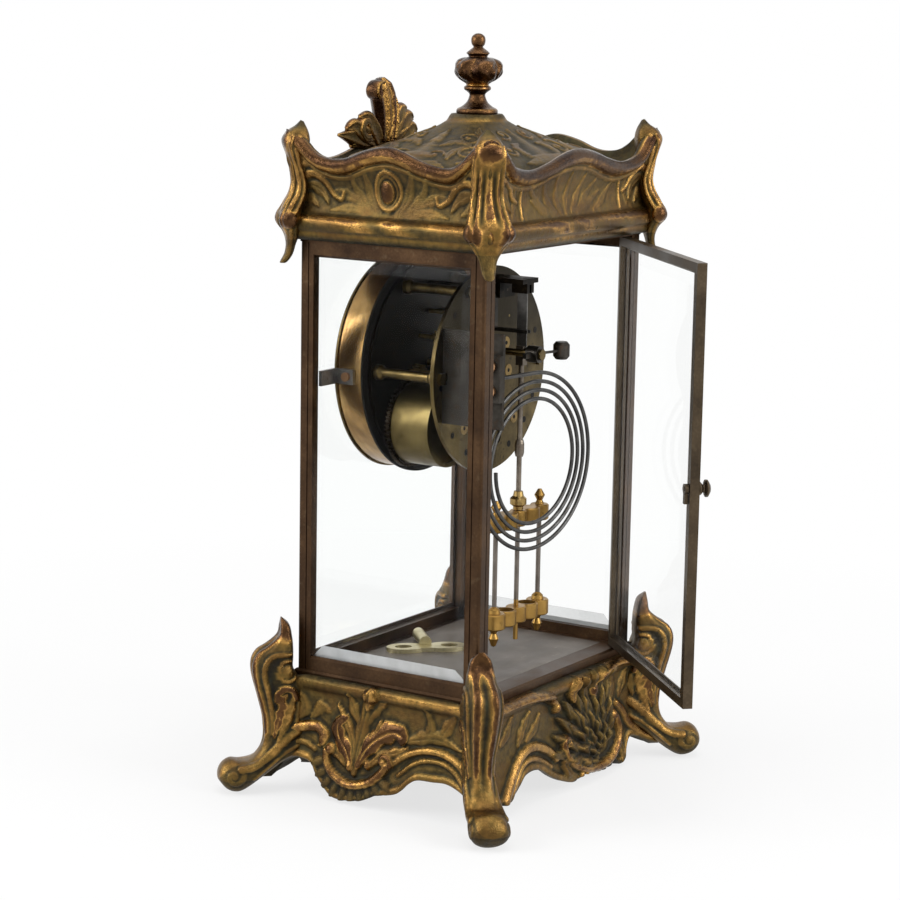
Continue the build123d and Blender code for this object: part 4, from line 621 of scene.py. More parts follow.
APRON = [(1.0, 9.2), (16, 6.6), (34, 4.2), (50, 2.9), (60.5, 2.6), (63.2, 4.2), (65, 6.2), (68, 7.5),
         (70.6, 6.9), (72.5, 4.0)]
SIDE_EDGE = [(-86, 4), (-80, 9), (-70, 19), (-63, 23), (-55, 22.5), (-50, 20), (-46, 14.5), (-40, 9),
             (-33, 3.6), (-26, 2.2), (-18, 3), (-9, 5), (0, 9.5), (8, 11), (15, 13.5), (21, 19), (28, 23.5),
             (40, 24.5), (50, 25), (60, 22), (68, 16.5), (76, 8), (84, 3)]
REAR_EDGE = [(-112, 3), (-98, 8), (-86, 12), (-70, 10), (-60, 12.5), (-52, 17), (-45, 21.5), (-35, 22.5),
             (-25, 20), (-15, 14), (-5, 9), (5, 5.5), (12, 4.6), (19, 7), (30, 5.5), (45, 4), (58, 5),
             (66, 2.4), (73, 3.4), (77, 10), (82, 16.5), (88, 16), (96, 9), (112, 2.5)]


def dress_side(r):
    """Side of the base: smiling scroll over a shell, an acanthus spray above, rolled arches to the legs."""
    r.leaves([
        (5.4, 2.6, 4, 0.48, -18, 20, -17, 33, -14, 47, -10, 60, -5, 68),
        (6.6, 3.2, 3, 0.92, -20, 24, -24, 33, -30, 41, -31, 49, -25, 53),
        (6.8, 3.4, 4, 0.92, -15, 26, -8, 38, 1, 46, 10, 50, 17, 48, 16, 44),
        (4.0, 2.0, 2, 0.50, -14, 50, -21, 58, -23, 65), (4.0, 2.0, 2, 0.50, -11, 52, -4, 60, 4, 63),
        (4.2, 2.8, 3, 0.60, -16, 24, -11, 36, -4, 46, 0, 54),
        (4.0, 2.4, 3, 0.58, -19, 24, -20, 38, -25, 50, -32, 58),
        (4.2, 2.2, 3, 0.54, -24, 24, -32, 31, -39, 34, -46, 33),
        (4.0, 2.4, 3, 0.56, -8, 26, 2, 34, 12, 38, 20, 42), (5.6, 5.6, 2, 0.62, -9, 60, -5, 67, -3, 74),
        (4.4, 1.5, 3, 0.46, 18, 46, 30, 49, 42, 51, 58, 47), (3.8, 1.3, 2, 0.46, 30, 47, 36, 55, 33, 64),
        (3.8, 1.3, 2, 0.48, 42, 50, 48, 57, 54, 63), (3.6, 1.3, 2, 0.46, 60, 44, 63, 54, 62, 62),
        (4.0, 1.3, 2, 0.46, -62, 47, -56, 54, -58, 61), (3.6, 1.2, 2, 0.46, -52, 49, -46, 55, -38, 54),
        (3.8, 1.3, 2, 0.46, -70, 44, -67, 55, -69, 64),
    ])
    r.rolls([
        (3.5, 4.4, 0.85, 0.9, 0.70,
         -39, 31, -38, 24, -33, 17.5, -24, 13.4, -15, 13.4, -5, 17, 2, 23, 6.5, 29),
        (4.0, 3.8, 0.8, 1.0, 0.74, -86, 20, -76, 31, -67, 39, -57, 43, -48, 44.5, -42, 41, -42, 36.5),
        (3.2, 1.8, 0.9, 0.6, 0.50, -84, 15, -74, 26, -65, 32, -56, 33, -49, 30),
        (3.2, 3.4, 0.7, 1.1, 0.58, 9, 30, 20, 38, 32, 42.3, 45, 43, 58, 38, 66, 28, 74, 14),
        (2.2, 2.2, 0.6, 1.1, 0.52, 14, 24, 24, 32.5, 34, 36.5, 45, 37, 55, 33, 63, 24, 71, 11),
    ])
    r.fan((-18, 34), 19, 33, 196, 330, 10, 2.4, 0.06, 0.30)
    r.boss((-36, 32.5), (3.9, 4.1), 5.0, 0.72)
    r.volute((4.6, 31.2), 4.8, 2.2, 4.6, -20, 1.1, 0.72)
    r.boss((16, 46.5), (3.8, 3.4), 3.6, 0.92)
    r.boss((-21, 24), (2.8, 3.6), 3.8, 0.66)
    r.boss((-8, 27), (2.8, 3.4), 3.6, 0.66)
    r.cut([(16, 29), (28, 38.8), (44, 40.3), (57, 36), (67, 24)], 0.7, 0.6)


def dress_rear(r):
    """Rear and front of the base: ruffled shell cartouche over a deep scroll, rolled arches, sprigs."""
    for far, start, end, flutes, height, tone in (
        (54, 74, 172, 9, 5.4, 0.28), (42, 68, 178, 8, 7.0, 0.38), (29, 60, 186, 6, 8.6, 0.28),
    ):
        r.fan((46, 13), 5, far, start, end, flutes, height, 0.15, tone, 3)
    r.leaves([
        (4.8, 5.6, 2, 0.62, 14, 56, 11, 64, 13, 72), (4.8, 3.2, 2, 0.50, -1, 20, 5, 12, 14, 7),
        (4.6, 3.4, 3, 0.46, 66, 20, 71, 12, 70, 4), (4.0, 1.4, 2, 0.46, -70, 46, -62, 52, -56, 62),
        (4.2, 1.5, 3, 0.48, -50, 42, -44, 51, -36, 60), (3.8, 1.3, 2, 0.46, -40, 42, -30, 48, -24, 56),
        (4.2, 1.5, 2, 0.46, 52, 46, 50, 55, 53, 63), (4.2, 1.5, 2, 0.46, 62, 44, 66, 54, 64, 63),
        (4.0, 1.4, 2, 0.46, 74, 46, 78, 54, 80, 63),
    ])
    r.rolls([
        (3.6, 5.6, 0.8, 0.9, 0.70,
         0, 33, 1, 26, 7, 18, 17, 12.5, 30, 9, 45, 8, 57, 11, 65, 18, 68, 27, 65, 35),
        (3.6, 5.0, 1.0, 0.8, 0.68, -82, 71, -62, 71.5, -42, 70.5, -24, 67, -12, 62, -6, 57),
        (3.6, 5.2, 0.7, 0.9, 0.68, 38, 60, 44, 67, 56, 71.5, 72, 71, 86, 67),
        (3.6, 3.6, 1.1, 0.8, 0.66, -70, 12, -60, 24, -51, 33, -41, 37, -30, 36.5, -17, 31, -8, 24),
        (2.4, 2.2, 1.1, 0.7, 0.62, -66, 10, -56, 20, -47, 28, -37, 30, -26, 27, -14, 20),
        (3.2, 3.2, 0.8, 1.1, 0.70, 70, 42, 77, 36, 82, 28, 88, 22, 98, 14),
    ])
    r.fan((40, 30), 22, 34, 205, 350, 10, 2.2, 0.06, 0.30)
    r.volute((3.6, 31), 4.8, 2.2, 5.6, 200, -1.1, 0.72)
    r.boss((62, 36.5), (4.4, 4.4), 6.0, 0.72)
    r.boss((-7, 56), (4.0, 4.0), 5.6, 0.70)
    r.boss((38, 58), (4.6, 5.6), 6.0, 0.84)
    r.boss((18, 8), (3.2, 2.8), 4.2, 0.62)
    r.boss((24, 7), (3.0, 2.6), 3.8, 0.62)
    r.boss((58, 44), (3.6, 3.2), 2.0, 0.50)


FRONT_EDGE = [(a, z + 9.0 * bell(a, 69, 9)) for a, z in REAR_EDGE]  # the rear one, raised at one place
BEAD_Z = 68.3
BEAD_RISE = 4.0  # the side aprons' bead laps over the foot of the sill
LEDGE_Z = 62.5  # where the inner wall of the apron steps in
LEG_LINE = [(10.6, 26), (17.5, 16.5), (30, 9.6), (45, 9.2), (62, 12.6), (77, 14.3)]


def apron_panel(side, half, s):
    """Apron: a gold bead, a hollow panel that flares to a waved lower edge, then a plain inner wall.

    Towards its ends the panel swings out to the line of the legs, so that it runs into them.
    """
    kind = side % 2
    to_end = 1 - np.abs(s)
    low = along((SIDE_EDGE, REAR_EDGE, SIDE_EDGE, FRONT_EDGE)[side], s * (half + 6))
    z = BASE_TOP + (low - BASE_TOP) * np.linspace(0, 1, 70)[:, None]
    near = grow(to_end * half, 20, 0)
    swing = lambda out, h: out + near**2 * (3 - 2 * near) * np.maximum(0.62 * along(LEG_LINE, h) - out, 0)
    r = Relief(s * (half + along(APRON, z)), z, 0.41)
    (dress_side, dress_rear)[kind](r)
    edge = half_round(z, low + 2.2, 2.4)
    r.lay(edge > 0, edge[edge > 0], 1.6, 0.50)
    # the side bead's gold grows lighter towards +a: a painted highlight over its gold tone
    bead_gold_and_highlight = np.clip(0.60 + 0.003 * r.a, 0.50, 0.70) if kind == 0 else 0.60
    band = np.clip(1 - np.abs(z - BEAD_Z) / 4.2, 0, 1) ** 0.4 * (r.h < 4.0)
    worn = np.maximum(r.tone_with_wear_and_shade(), bead_gold_and_highlight * band) - 0.06 * grow(z, 18, 0)
    rise = (1 - kind) * BEAD_RISE * grow(to_end * half, 0, 14) * grow(z, 50, 63)
    face = swing(along(APRON, z), z), r.h * grow(to_end, 0, 0.04), z + rise, worn
    up = np.linspace(0, 1, 16)[:, None]
    z_in = low + (LEDGE_Z - low) * up
    out_in = swing(along(APRON, z_in), z_in) - 4.6 + up
    one = np.ones_like(low)
    back_out = np.concatenate([out_in, -5.0 * one, -5.0 * one])
    return with_back(face, back_out, np.concatenate([z_in, (LEDGE_Z + 2) * one, BASE_TOP * one]), 0.12)


# stations down a limb: outer point, inner point and half width across
LEG = [(10.6, 110.9, 9.6, 110.6, 1.6), (11.6, 105.5, 5.4, 106.5, 6.0), (13.0, 99, 3.6, 98.5, 8.0),
       (18.2, 93.5, 3.0, 92, 9.0), (24.2, 89.6, 2.9, 86, 10.0), (27.6, 83.5, 2.8, 79, 10.8),
       (27.6, 74.5, -2, 71, 10.8), (23.6, 59, -5, 58, 9.4), (20.6, 46, -6, 46, 7.8), (20.8, 35, -6, 35, 7.8),
       (24.2, 26.4, -3, 26, 8.8), (29.6, 21, 8.0, 19.8, 9.8), (36.5, 20.6, 18.6, 11.5, 10.6),
       (42.0, 21.6, 28.4, 4.2, 11.4), (46.2, 19.6, 35.0, 0.6, 11.8), (48.8, 16.2, 40.0, 0.5, 11.0),
       (49.8, 13.0, 44.2, 2.4, 8.6), (49.9, 10.6, 47.4, 5.8, 5.0), (49.8, 9.2, 49.0, 7.8, 1.6)]
HORN = [(0.4, 417.4, -1.4, 416.6, 1.6), (3.4, 414.2, -4, 411, 5.4), (8.0, 410.8, -5, 406, 7.8),
        (10.6, 405.5, -4.5, 400, 9.0), (9.2, 398, -4, 394, 9.2), (6.6, 390.5, -4, 388, 8.8),
        (5.2, 383, -4, 382, 8.6), (5.2, 378.5, -4, 377, 8.8), (6.8, 373, -3, 371, 9.8),
        (10.0, 367, 0, 364, 11.6), (13.2, 361, 1, 359, 13.2), (13.0, 355.5, 1.5, 354, 12.6),
        (10.2, 350, 1.6, 348, 8.6), (8.8, 343.5, 3, 343, 5.2), (9.6, 337.5, 5, 336.5, 3.9),
        (12.0, 332.8, 8.5, 331.8, 2.6), (12.6, 331.6, 11.8, 331.2, 1.0)]


def limb(stations, rows, cols, dress):
    """Cast limb in a corner's diagonal plane: a squared oval section carried down between two outlines.

    Each station gives a point of the outer outline, a point of the inner one and the half width across;
    the skin is then pushed out along its own direction by the height of its ribs and flank ornament.
    """
    st = curve(stations, rows)
    mid, arm = (st[:, :2] + st[:, 2:4]) / 2, (st[:, :2] - st[:, 2:4]) / 2
    reach = np.hypot(arm[:, :1], arm[:, 1:])
    turn = np.linspace(-np.pi, np.pi, cols, endpoint=False)[None, :]
    power = 0.66 + 0.30 * grow(mid[:, 1:], 24, 14)  # squarer above the foot
    c, w = (np.sign(f) * np.abs(f) ** power for f in (np.cos(turn), np.sin(turn)))
    out, z = mid[:, :1] + arm[:, :1] * c, mid[:, 1:] + arm[:, 1:] * c
    lift, worn = dress(out, z, np.abs(np.degrees(turn)))
    push = lift * grow(st[:, 4:5], 0, 7)
    ahead = push * np.cos(turn) / reach
    return out + ahead * arm[:, :1], st[:, 4:5] * w + push * np.sin(turn), z + ahead * arm[:, 1:], worn


def dress_leg(out, z, t):
    """Leg: two brown rolls down the outer face, flanks with a gold line, a boss, a curled leaf and veins."""
    r = Relief(out, z, 0.38)
    r.leaves([
        (3.6, 1.8, 4, 0.84, 9, 63, 10.5, 55, 12.5, 46, 15, 36),
        (3.4, 1.7, 4, 0.60, 4, 61, 5.5, 52, 9, 42, 13, 33), (3.0, 1.2, 2, 0.48, 0, 58, 0, 50, 2, 44),
    ])
    r.rolls([
        (1.7, 1.3, 1, 1, 0.52, 5, 88.4, 15, 88.4, 20.4, 84, 21.8, 76, 19.0, 64, 16.6, 50.7, 16.8, 38),
        (2.6, 2.2, 0.8, 1.0, 0.86, 2, 61, 4.6, 66, 9.4, 67.2, 13, 64.5, 13.4, 60),
        (3.0, 2.0, 1.1, 0.8, 0.54, -8, 41, 0, 39.5, 8.5, 33.5, 17, 25.5, 28, 18, 36, 16.5),
        (1.3, 1.0, 1, 0.8, 0.50, 0, 30, 9, 25.5, 18, 18, 28, 9.5),
    ])
    r.roll(spiral((7.5, 78), 6.6, 60, 0.95, 0.85), 1.4, 1.3, (1, 1), 0.54)
    r.boss((7.5, 78), (4.4, 4.6), 2.0, 0.50)
    r.volute((40.4, 12.2), 6.6, 2.0, 0.7, 150, 1.0, 0.42)
    r.cut([(12, 85), (17, 81), (18.4, 75), (16, 64), (14, 54)], 0.9, 0.8)
    flank = grow(t, 42, 56) * grow(t, 150, 134)
    face = grow(z, 28, 42) * grow(z, 101, 93)
    rolls = bell(t, 22, 15)
    lift = (1.5 * rolls - bell(t, 0, 5)) * face - 1.4 * bell(t, 0, 26) * bell(z, 103, 4) + r.h * flank
    worn = r.ground + (r.tone_with_wear_and_shade() - r.ground) * flank
    worn = worn + (0.58 * rolls - 0.30 * bell(t, 0, 4) - 0.14 * bell(t, 47, 5)) * face
    return lift, worn + 0.14 * grow(z, 34, 24) * (t < 50) + 0.54 * grow(z, 93, 101) - 0.10 * (z < 9)


def dress_horn(out, z, t):
    """Horn: a smooth brown crown, gold strands down face and flanks, brown lobes and a drop at the foot."""
    r = Relief(out, z, 0.50)
    r.rolls([
        (1.5, 1.2, 0.8, 1, 0.68,
         6.4, 408, 8.0, 402, 6.4, 395, 3.8, 388, 2.0, 380, 2.8, 374, 5.8, 369, 9, 363),
        (1.4, 1.1, 0.8, 1, 0.64, 2, 408, 4, 401, 3, 394, 0.8, 387, -0.8, 380, 0, 373, 2.6, 367, 5.5, 362),
        (1.4, 0.8, 1, 0.6, 0.56, 7.2, 352, 6.4, 344, 8, 336, 11, 332.5),
    ])
    r.boss((8.6, 358.5), (5.0, 5.6), 2.2, 0.92)
    flank = grow(t, 46, 58)
    waves = np.cos(np.radians(12 * t + 2.2 * (z - 380)))
    strands = waves * grow(z, 397, 389) * grow(z, 360, 368) * (1 - flank)
    crown = bell(z, 404.5, 6) * bell(t, 0, 44)
    lobes = bell(z, 357, 6) * (bell(t, 34, 18) - 0.6 * bell(t, 0, 10))
    worn = r.ground + (r.tone_with_wear_and_shade() - r.ground) * flank + 0.30 * strands + 0.50 * crown
    worn = worn + 0.52 * np.maximum(lobes, 0) - 0.22 * grow(z, 410, 415) - 0.12 * (z < 346)
    return strands + 1.2 * crown + 2.0 * lobes + r.h * flank, worn


def at_corners(out, across, z, worn):
    """The same limb at the four corners of the case, out along each diagonal."""
    diagonal, skins = 0.70711, []
    for sx, sy in ((1, 1), (-1, 1), (-1, -1), (1, -1)):
        x, y = sx * (HX + (out - across) * diagonal), sy * (HY + (out + across) * diagonal)
        skins.append(tube_skin(np.stack([x, y, z], -1), np.broadcast_to(worn, x.shape)))
    return skins


piece("base_apron", [round_case(apron_panel, (232, 318))], GILT, stands_for=["base_casting"])
out, across, z, worn = limb(LEG, 220, 96, dress_leg)
out = np.where(z > BASE_TOP - 1, np.maximum(out, 2.9 - np.abs(across)), out)  # clear of the posts
piece("base_legs", at_corners(out, across, np.maximum(z, 0.0), worn), GILT)


# ---- Top ------------------------------------------------------------------------

CORNICE = [(346, 4.0), (348.5, 6.4), (351.5, 7.2), (353, 9.0), (356, 9.9), (359.2, 9.4), (361.6, 6.6),
           (363, 3.9), (368, 2.3), (376, 1.5), (384, 3.2), (390, 5.4), (396, 6.4), (408, 6.4)]
SIDE_RIM = [(-82, 413), (-73, 412), (-66, 410), (-60, 406), (-55, 401.5), (-48, 397.6), (-38, 396),
            (-28, 397.2), (-15, 402), (0, 405), (12, 402.8), (25, 398), (40, 394.8), (48, 395.4), (55, 400),
            (60, 405), (66, 409.5), (73, 412), (82, 413)]
REAR_RIM = mirrored([(6, 403), (20, 400.4), (36, 396), (50, 393.4), (62, 393.4), (74, 396), (80, 400),
                     (85, 405), (91, 409.5), (98, 412), (108, 413)])


def dress_frieze_side(r):
    """Side of the top: a cabochon in an oval frame among plumes and long leaves, sprays at the corners."""
    turn = np.linspace(0, 2 * np.pi, 48)
    r.roll(np.stack([-0.5 + 9.0 * np.cos(turn), 378.5 + 11.2 * np.sin(turn)], -1), 1.5, 1.3, tone=0.54)
    r.roll(np.stack([-0.8 + 6.6 * np.cos(turn), 378 + 8.8 * np.sin(turn)], -1), 1.0, 1.1, tone=0.44)
    r.boss((-1, 377.5), (5.2, 7.2), 3.2, 0.95)
    for s in (-1, 1):
        r.leaves([
            (3.9, 0.8, 2, 0.41, 5, 363.5, 11, 371, 15, 381, 17, 390),
            (3.4, 0.6, 2, 0.41, 8, 363.5, 17, 370, 24, 378, 27, 386),
            (3.4, 0.7, 3, 0.41, 4, 364, 18, 366.5, 30, 367, 42, 365),
            (3.4, 0.6, 2, 0.41, 14, 367, 26, 373, 36, 376, 43, 375),
            (3.9, 1.0, 2, 0.41, 64, 378, 55, 379, 48, 375, 44, 369),
            (3.6, 0.8, 2, 0.41, 64, 372, 57, 371, 51, 367),
        ], s)
        r.rolls([
            (2.4, 1.7, 1.2, 0.6, 0.56, 62, 384, 54, 386, 47, 382, 41, 375, 35, 372, 33, 376),
            (2.2, 1.2, 1.2, 0.6, 0.52, 64, 391, 56, 392, 49, 389.5),
        ], s)
    r.leaf([(-7, 364.5), (0, 362.8), (7, 364.5)], 3.1, 0.8, 2, 0.41)


def dress_frieze_rear(r):
    """Rear and front of the top: a bush of grasses in a sunk panel, a stalk and sprays at each end."""
    outline = mirrored([(0, 397), (14, 396), (30, 393), (44, 390), (56, 385), (58, 376), (58, 364.5)])
    r.roll(outline, 1.3, 1.0, tone=0.50)
    for x, tip, top in (
        (-44, -12, 384), (-30, -9, 389), (-18, -3, 392), (-6, 5, 390), (8, 10, 387), (20, 13, 383),
    ):
        blade = [(0.45 * x - 4, 364.5), (0.75 * x - 3 + 0.3 * tip, 373), (x + tip * 0.6, top)]
        r.leaf(blade, 2.9, 0.6, 2, 0.41)
    r.leaves([
        (3.1, 0.6, 2, 0.41, -20, 365, -34, 368, -46, 374), (3.1, 0.6, 2, 0.41, 2, 365, 18, 369, 34, 376),
        (2.9, 0.6, 2, 0.41, 26, 365, 38, 371, 48, 380),
    ])
    for s in (-1, 1):
        r.rolls([(2.4, 1.8, 1.2, 0.6, 0.56, 88, 386, 80, 388, 73, 384, 68, 377, 63, 374)], s)
        r.leaves([
            (4.2, 1.1, 2, 0.41, 90, 380, 81, 381, 74, 376, 70, 369),
            (3.9, 1.0, 2, 0.41, 90, 373, 83, 372, 77, 367), (2.6, 0.5, 2, 0.41, 68, 366, 65, 374, 66, 382),
        ], s)


def cornice_panel(side, half, s):
    """Cornice: ovolo and gold bead, hollow frieze with relief, waved rim of two rolls, inner ledge."""
    kind = side % 2
    top = along((SIDE_RIM, REAR_RIM)[kind], s * (half + 7))
    z = CASE_TOP + (top - CASE_TOP) * np.linspace(0, 1, 68)[:, None]
    out, down = along(CORNICE, z), top - z
    r = Relief(s * (half + out), z)
    (dress_frieze_side, dress_frieze_rear)[kind](r)
    rim = np.maximum(4.2 * half_round(down, 4.9, 5.0), 0.6 * half_round(down, 11.6, 1.6))
    r.h = np.maximum(r.h * grow(down, 11, 14), rim) - 0.6 * bell(down, 10.1, 0.7)
    brown = 0.98 - 0.34 * grow(down, 4.2, 6.0) * (0.86 + 0.14 * np.cos(r.a / 9))
    worn = np.where(down < 10, brown, r.tone_with_wear_and_shade())
    # the dark line in the groove under the rim roll is painted shade
    worn = np.where((down > 10) & (down < 13.2), 0.46, worn) - 0.25 * bell(down, 10.2, 0.6)
    streak = 0.16 * np.sin(r.a / 8.3 + 2 * np.sin(r.a / 17) + z / 3)
    worn = np.where((z > 353) & (z < 361.5), 0.48 + streak, worn)
    worn = worn + 0.16 * bell(z, 359.4, 1.3) + 0.14 * bell(z, 350.5, 1.2) + 0.08 * kind
    face = out, r.h * grow(1 - np.abs(s), 0, 0.03), z, worn
    back = [(4.4, top - 0.4), (3.2, top - 2.2), (3.0, 392.5), (-5.0, 389.5), (-5.0, 386.0), (-10.0, 386.0),
            (-10.0, 383.0), (-4.0, 379.0), (-4.0, 366.0), (-1.0, 358.0), (-1.0, 351.0), (-8.0, 349.0),
            (-8.0, CASE_TOP)]
    back_out, back_z = (np.concatenate([row[i] * np.ones_like(top) for row in back]) for i in (0, 1))
    return with_back(face, back_out, back_z, 0.22)


piece("top_cornice", [round_case(cornice_panel, (248, 340))], GILT, stands_for=["top_casting"])
out, across, z, worn = limb(HORN, 170, 88, dress_horn)
out = np.where(z < CASE_TOP + 0.5, np.maximum(out, 1.6 - np.abs(across)), out)  # clear of the posts
piece("top_horns", at_corners(out, across, z, worn), GILT)

DOME_X, DOME_Y, DOME_TOP = 86.8, 61.3, 421.0  # half width, half depth and height of the dome
# coils of the dome: middle, size, start angle and turns
COILS = [(58, 34, 10, 200, 1.3), (38, 18, 9, 20, 1.2), (28, 42, 9, 250, 1.2), (66, 12, 7, 90, 1.1),
         (12, 26, 6, 40, 1.1)]
# leaves of the dome: width, then x and y of each point
SWIRLS = [(3.6, 70, 24, 62, 22, 54, 24, 48, 30), (3.4, 52, 8, 46, 14, 46, 22, 50, 28),
          (3.8, 74, 34, 70, 42, 64, 47, 56, 47), (3.6, 44, 34, 40, 40, 40, 47, 46, 51),
          (3.6, 16, 52, 18, 44, 16, 38, 10, 36), (3.2, 26, 30, 30, 26, 28, 20, 22, 16),
          (3.2, 80, 6, 76, 14, 78, 22, 80, 28), (3.0, 6, 46, 10, 50, 18, 54, 28, 55)]


def dome_skin():
    """Dome: a squared bell about the vertical axis, hollow below, with coils and leaves drawn in plan."""
    top = curve([(1.0, 386.0), (0.955, 390), (0.90, 394), (0.77, 399), (0.62, 403.2), (0.47, 408),
                 (0.34, 412.4), (0.25, 416.6), (0.20, 419.6), (0.17, DOME_TOP)], 116)[::-1]
    under = curve([(0.945, 386.0), (0.86, 391.0), (0.60, 399.5), (0.33, 408.5), (0.15, 416.5)], 20)
    cap, hem = [(0.02, DOME_TOP), (0.09, DOME_TOP)], 8  # rows that close the top, plain rows at the rim
    rows = np.concatenate([cap, top, under, [(0.04, 416.8)]])
    part, z = rows[:, :1], rows[:, 1:]
    turn = np.linspace(0, 2 * np.pi, 640, endpoint=False)[None, :]
    square = 2.0 / np.interp(part, [0.1, 0.35, 1.0], [2.2, 3.2, 6.5])
    c, s = (np.sign(f) * np.abs(f) ** square for f in (np.cos(turn), np.sin(turn)))
    x, y = DOME_X * part * c, np.maximum(DOME_Y * part, np.minimum(15.0, DOME_X * part)) * s
    r = Relief(x, y, 0.31)
    for m in (-1, 1):
        for n in (-1, 1):
            for x0, y0, size, start, turns in COILS:
                r.roll(spiral((x0, y0), size, start, turns, 0.15) * (m, n), 1.1, 0.9, (1.0, 0.8), 0.46)
                r.boss((m * x0, n * y0), (1.8, 1.8), 1.0, 0.50)
            for wide, *line in SWIRLS:
                r.leaf(np.reshape(line, (-1, 2)) * (m, n), wide, 1.1, 4, 0.42)
        for line in ([(80, 0), (62, 0), (44, 0), (30, 0)], [(0, 56), (0, 46), (0, 34), (0, 22)]):
            r.leaf(np.multiply(line, m), 4.8, 1.2, 6, 0.42)
    outer = np.zeros_like(z)
    outer[len(cap):len(cap) + len(top) - hem] = 1.0
    r.h = r.h * outer
    worn = np.where(outer > 0, r.tone_with_wear_and_shade(0.16, 0.26) + 0.2 * bell(part, 0.235, 0.02), 0.2)
    lean = np.interp(part, [0.9, 1.0], [0.9, 0.6])
    scale = 1 + 0.4 * r.h / 60
    return tube_skin(np.stack([x * scale, y * scale, z + lean * r.h * (z < DOME_TOP - 0.1)], -1), worn)


piece("dome_bell", [dome_skin()], GILT, stands_for=["dome"])


def finial_skin():
    """Finial: a turned urn whose bulb carries five broad curling leaves."""
    line = curve([(12.6, 421.0), (12.9, 422.4), (12.2, 424.0), (9.6, 425.4), (6.6, 428.0), (5.2, 431.0),
                  (5.0, 433.0), (6.6, 434.6), (8.2, 435.8), (8.2, 437.4), (6.9, 438.6), (8.2, 440.0),
                  (12.2, 442.6), (14.6, 446.4), (14.4, 450.2), (12.6, 453.2), (9.4, 455.0), (6.0, 455.6),
                  (6.4, 457.0), (7.2, 457.8), (6.2, 459.0), (3.6, 461.0), (3.0, 461.8), (4.0, 463.2),
                  (4.45, 465.6), (3.9, 468.0), (2.0, 469.6), (0.15, 470.0)], 200)
    turn = np.linspace(0, 2 * np.pi, 144, endpoint=False)[None, :]
    r, z = line[:, :1], line[:, 1:]
    bulb = grow(z, 439.2, 441.7) * grow(z, 455.4, 453.4)
    sway = 0.8 * np.sin((z - 440) / 5.0) + 0.3 * np.sin(3 * turn)
    lobe = np.abs(np.cos(2.5 * turn + sway)) ** 0.6
    vein = np.cos(15 * turn + 3 * sway) * np.cos((z - 440) * 0.6)
    tips = bell(z, 452, 2.6) * np.cos(5 * turn + 2 * sway)
    lift = bulb * (2.2 * (lobe - 0.75) + 0.4 * vein + 0.8 * tips)
    worn = 0.98 - 0.12 * np.abs(lift) - 0.4 * bell(z, 438.8, 1.0) - 0.14 * (z > 456)
    worn = worn - 0.22 * bell(z, 424, 1.2) - 0.2 * bell(z, 436.6, 0.8)
    r = r + lift
    return tube_skin(np.stack([r * np.cos(turn), r * np.sin(turn), z + 0 * turn], -1), worn)


piece("finial_urn", [finial_skin()], GILT, stands_for=["finial"])


def frond(points, widths, thick, y, hollow=0.35, ribs=0.10, tone=0.42):
    """Flat leaf in the plane of the front: an oval section with a sunk middle along a curve of (a, z)."""
    line = curve(points, 44)
    wide = np.interp(np.linspace(0, 1, len(line)), np.linspace(0, 1, len(widths)), widths)[:, None]
    step = np.gradient(line, axis=0)
    step /= np.maximum(np.hypot(step[:, :1], step[:, 1:]), 1e-9)
    turn = np.linspace(0, 2 * np.pi, 32, endpoint=False)[None, :]
    c, s = np.cos(turn), np.sin(turn)
    sunk = 1 - hollow * bell(c, 0, 0.3)
    flute = 1 + ribs * np.cos(9 * c)
    a, z = line[:, :1] - step[:, 1:] * wide * c, line[:, 1:] + step[:, :1] * wide * c
    deep = thick * np.sqrt(wide / wide.max()) * s * sunk * flute
    worn = tone + 0.42 * (sunk * flute - 0.82) + 0.40 * np.abs(c) ** 3 + 0 * a
    return tube_skin(np.stack([-a, y + deep, z + 0 * a], -1), worn)


crest = [
    frond([(2, 400), (2.5, 411), (2, 420), (0, 429), (-2, 436), (-3, 440.5)], (8, 9.4, 10.4, 11.0, 8.4, 2.5),
          5.0, -70.6, 0.2, 0.30, 0.66),
    frond(spiral((-6.5, 432), 6.6, 60, 1.0, 0.25), (1.4, 1.8, 1.6, 1.2), 5.2, -70.6, 0.1, 0.1, 0.6),
    frond([(9, 402), (11.5, 412), (11, 424), (7, 433)], (2.4, 2.6, 2.2, 1.0), 5.2, -70.8, 0.1, 0.1, 0.6),
    frond([(-6, 401), (-12, 409), (-18, 415.5), (-25, 417)], (6, 7, 5.5, 1.5), 4.4, -70.4),
    frond(spiral((-20, 410), 7.0, -60, -1.15, 0.2), (3.4, 3.2, 2.8, 2.2), 4.8, -70.8, 0.2),
    frond([(-10, 401), (-22, 406), (-32, 411), (-39, 410)], (6, 7, 5.5, 1.5), 4.0, -70.6),
    frond([(-10, 402), (-22, 402.5), (-34, 405), (-47, 406.5)], (5, 6.4, 5.4, 1.0), 3.8, -70.8),
    frond([(7, 401), (13, 411), (19, 419.5), (25, 420.5)], (6, 7, 5.6, 1.6), 4.4, -70.4),
    frond([(10, 401), (19, 409), (27, 415), (33, 414)], (6, 7, 5.6, 1.6), 4.6, -70.8),
    frond([(12, 400), (23, 404), (31, 408), (37, 406)], (6, 6.4, 5.2, 1.6), 4.2, -70.4),
    frond([(-34, 400), (-12, 402.5), (0, 403), (14, 402.5), (32, 400)], (2.4, 6, 7, 6, 2.4), 3.6, -70.6, 0.1),
]
piece("crest_leaves", crest, GILT, stands_for=["front_crest"])


# ---- Dial -----------------------------------------------------------------------

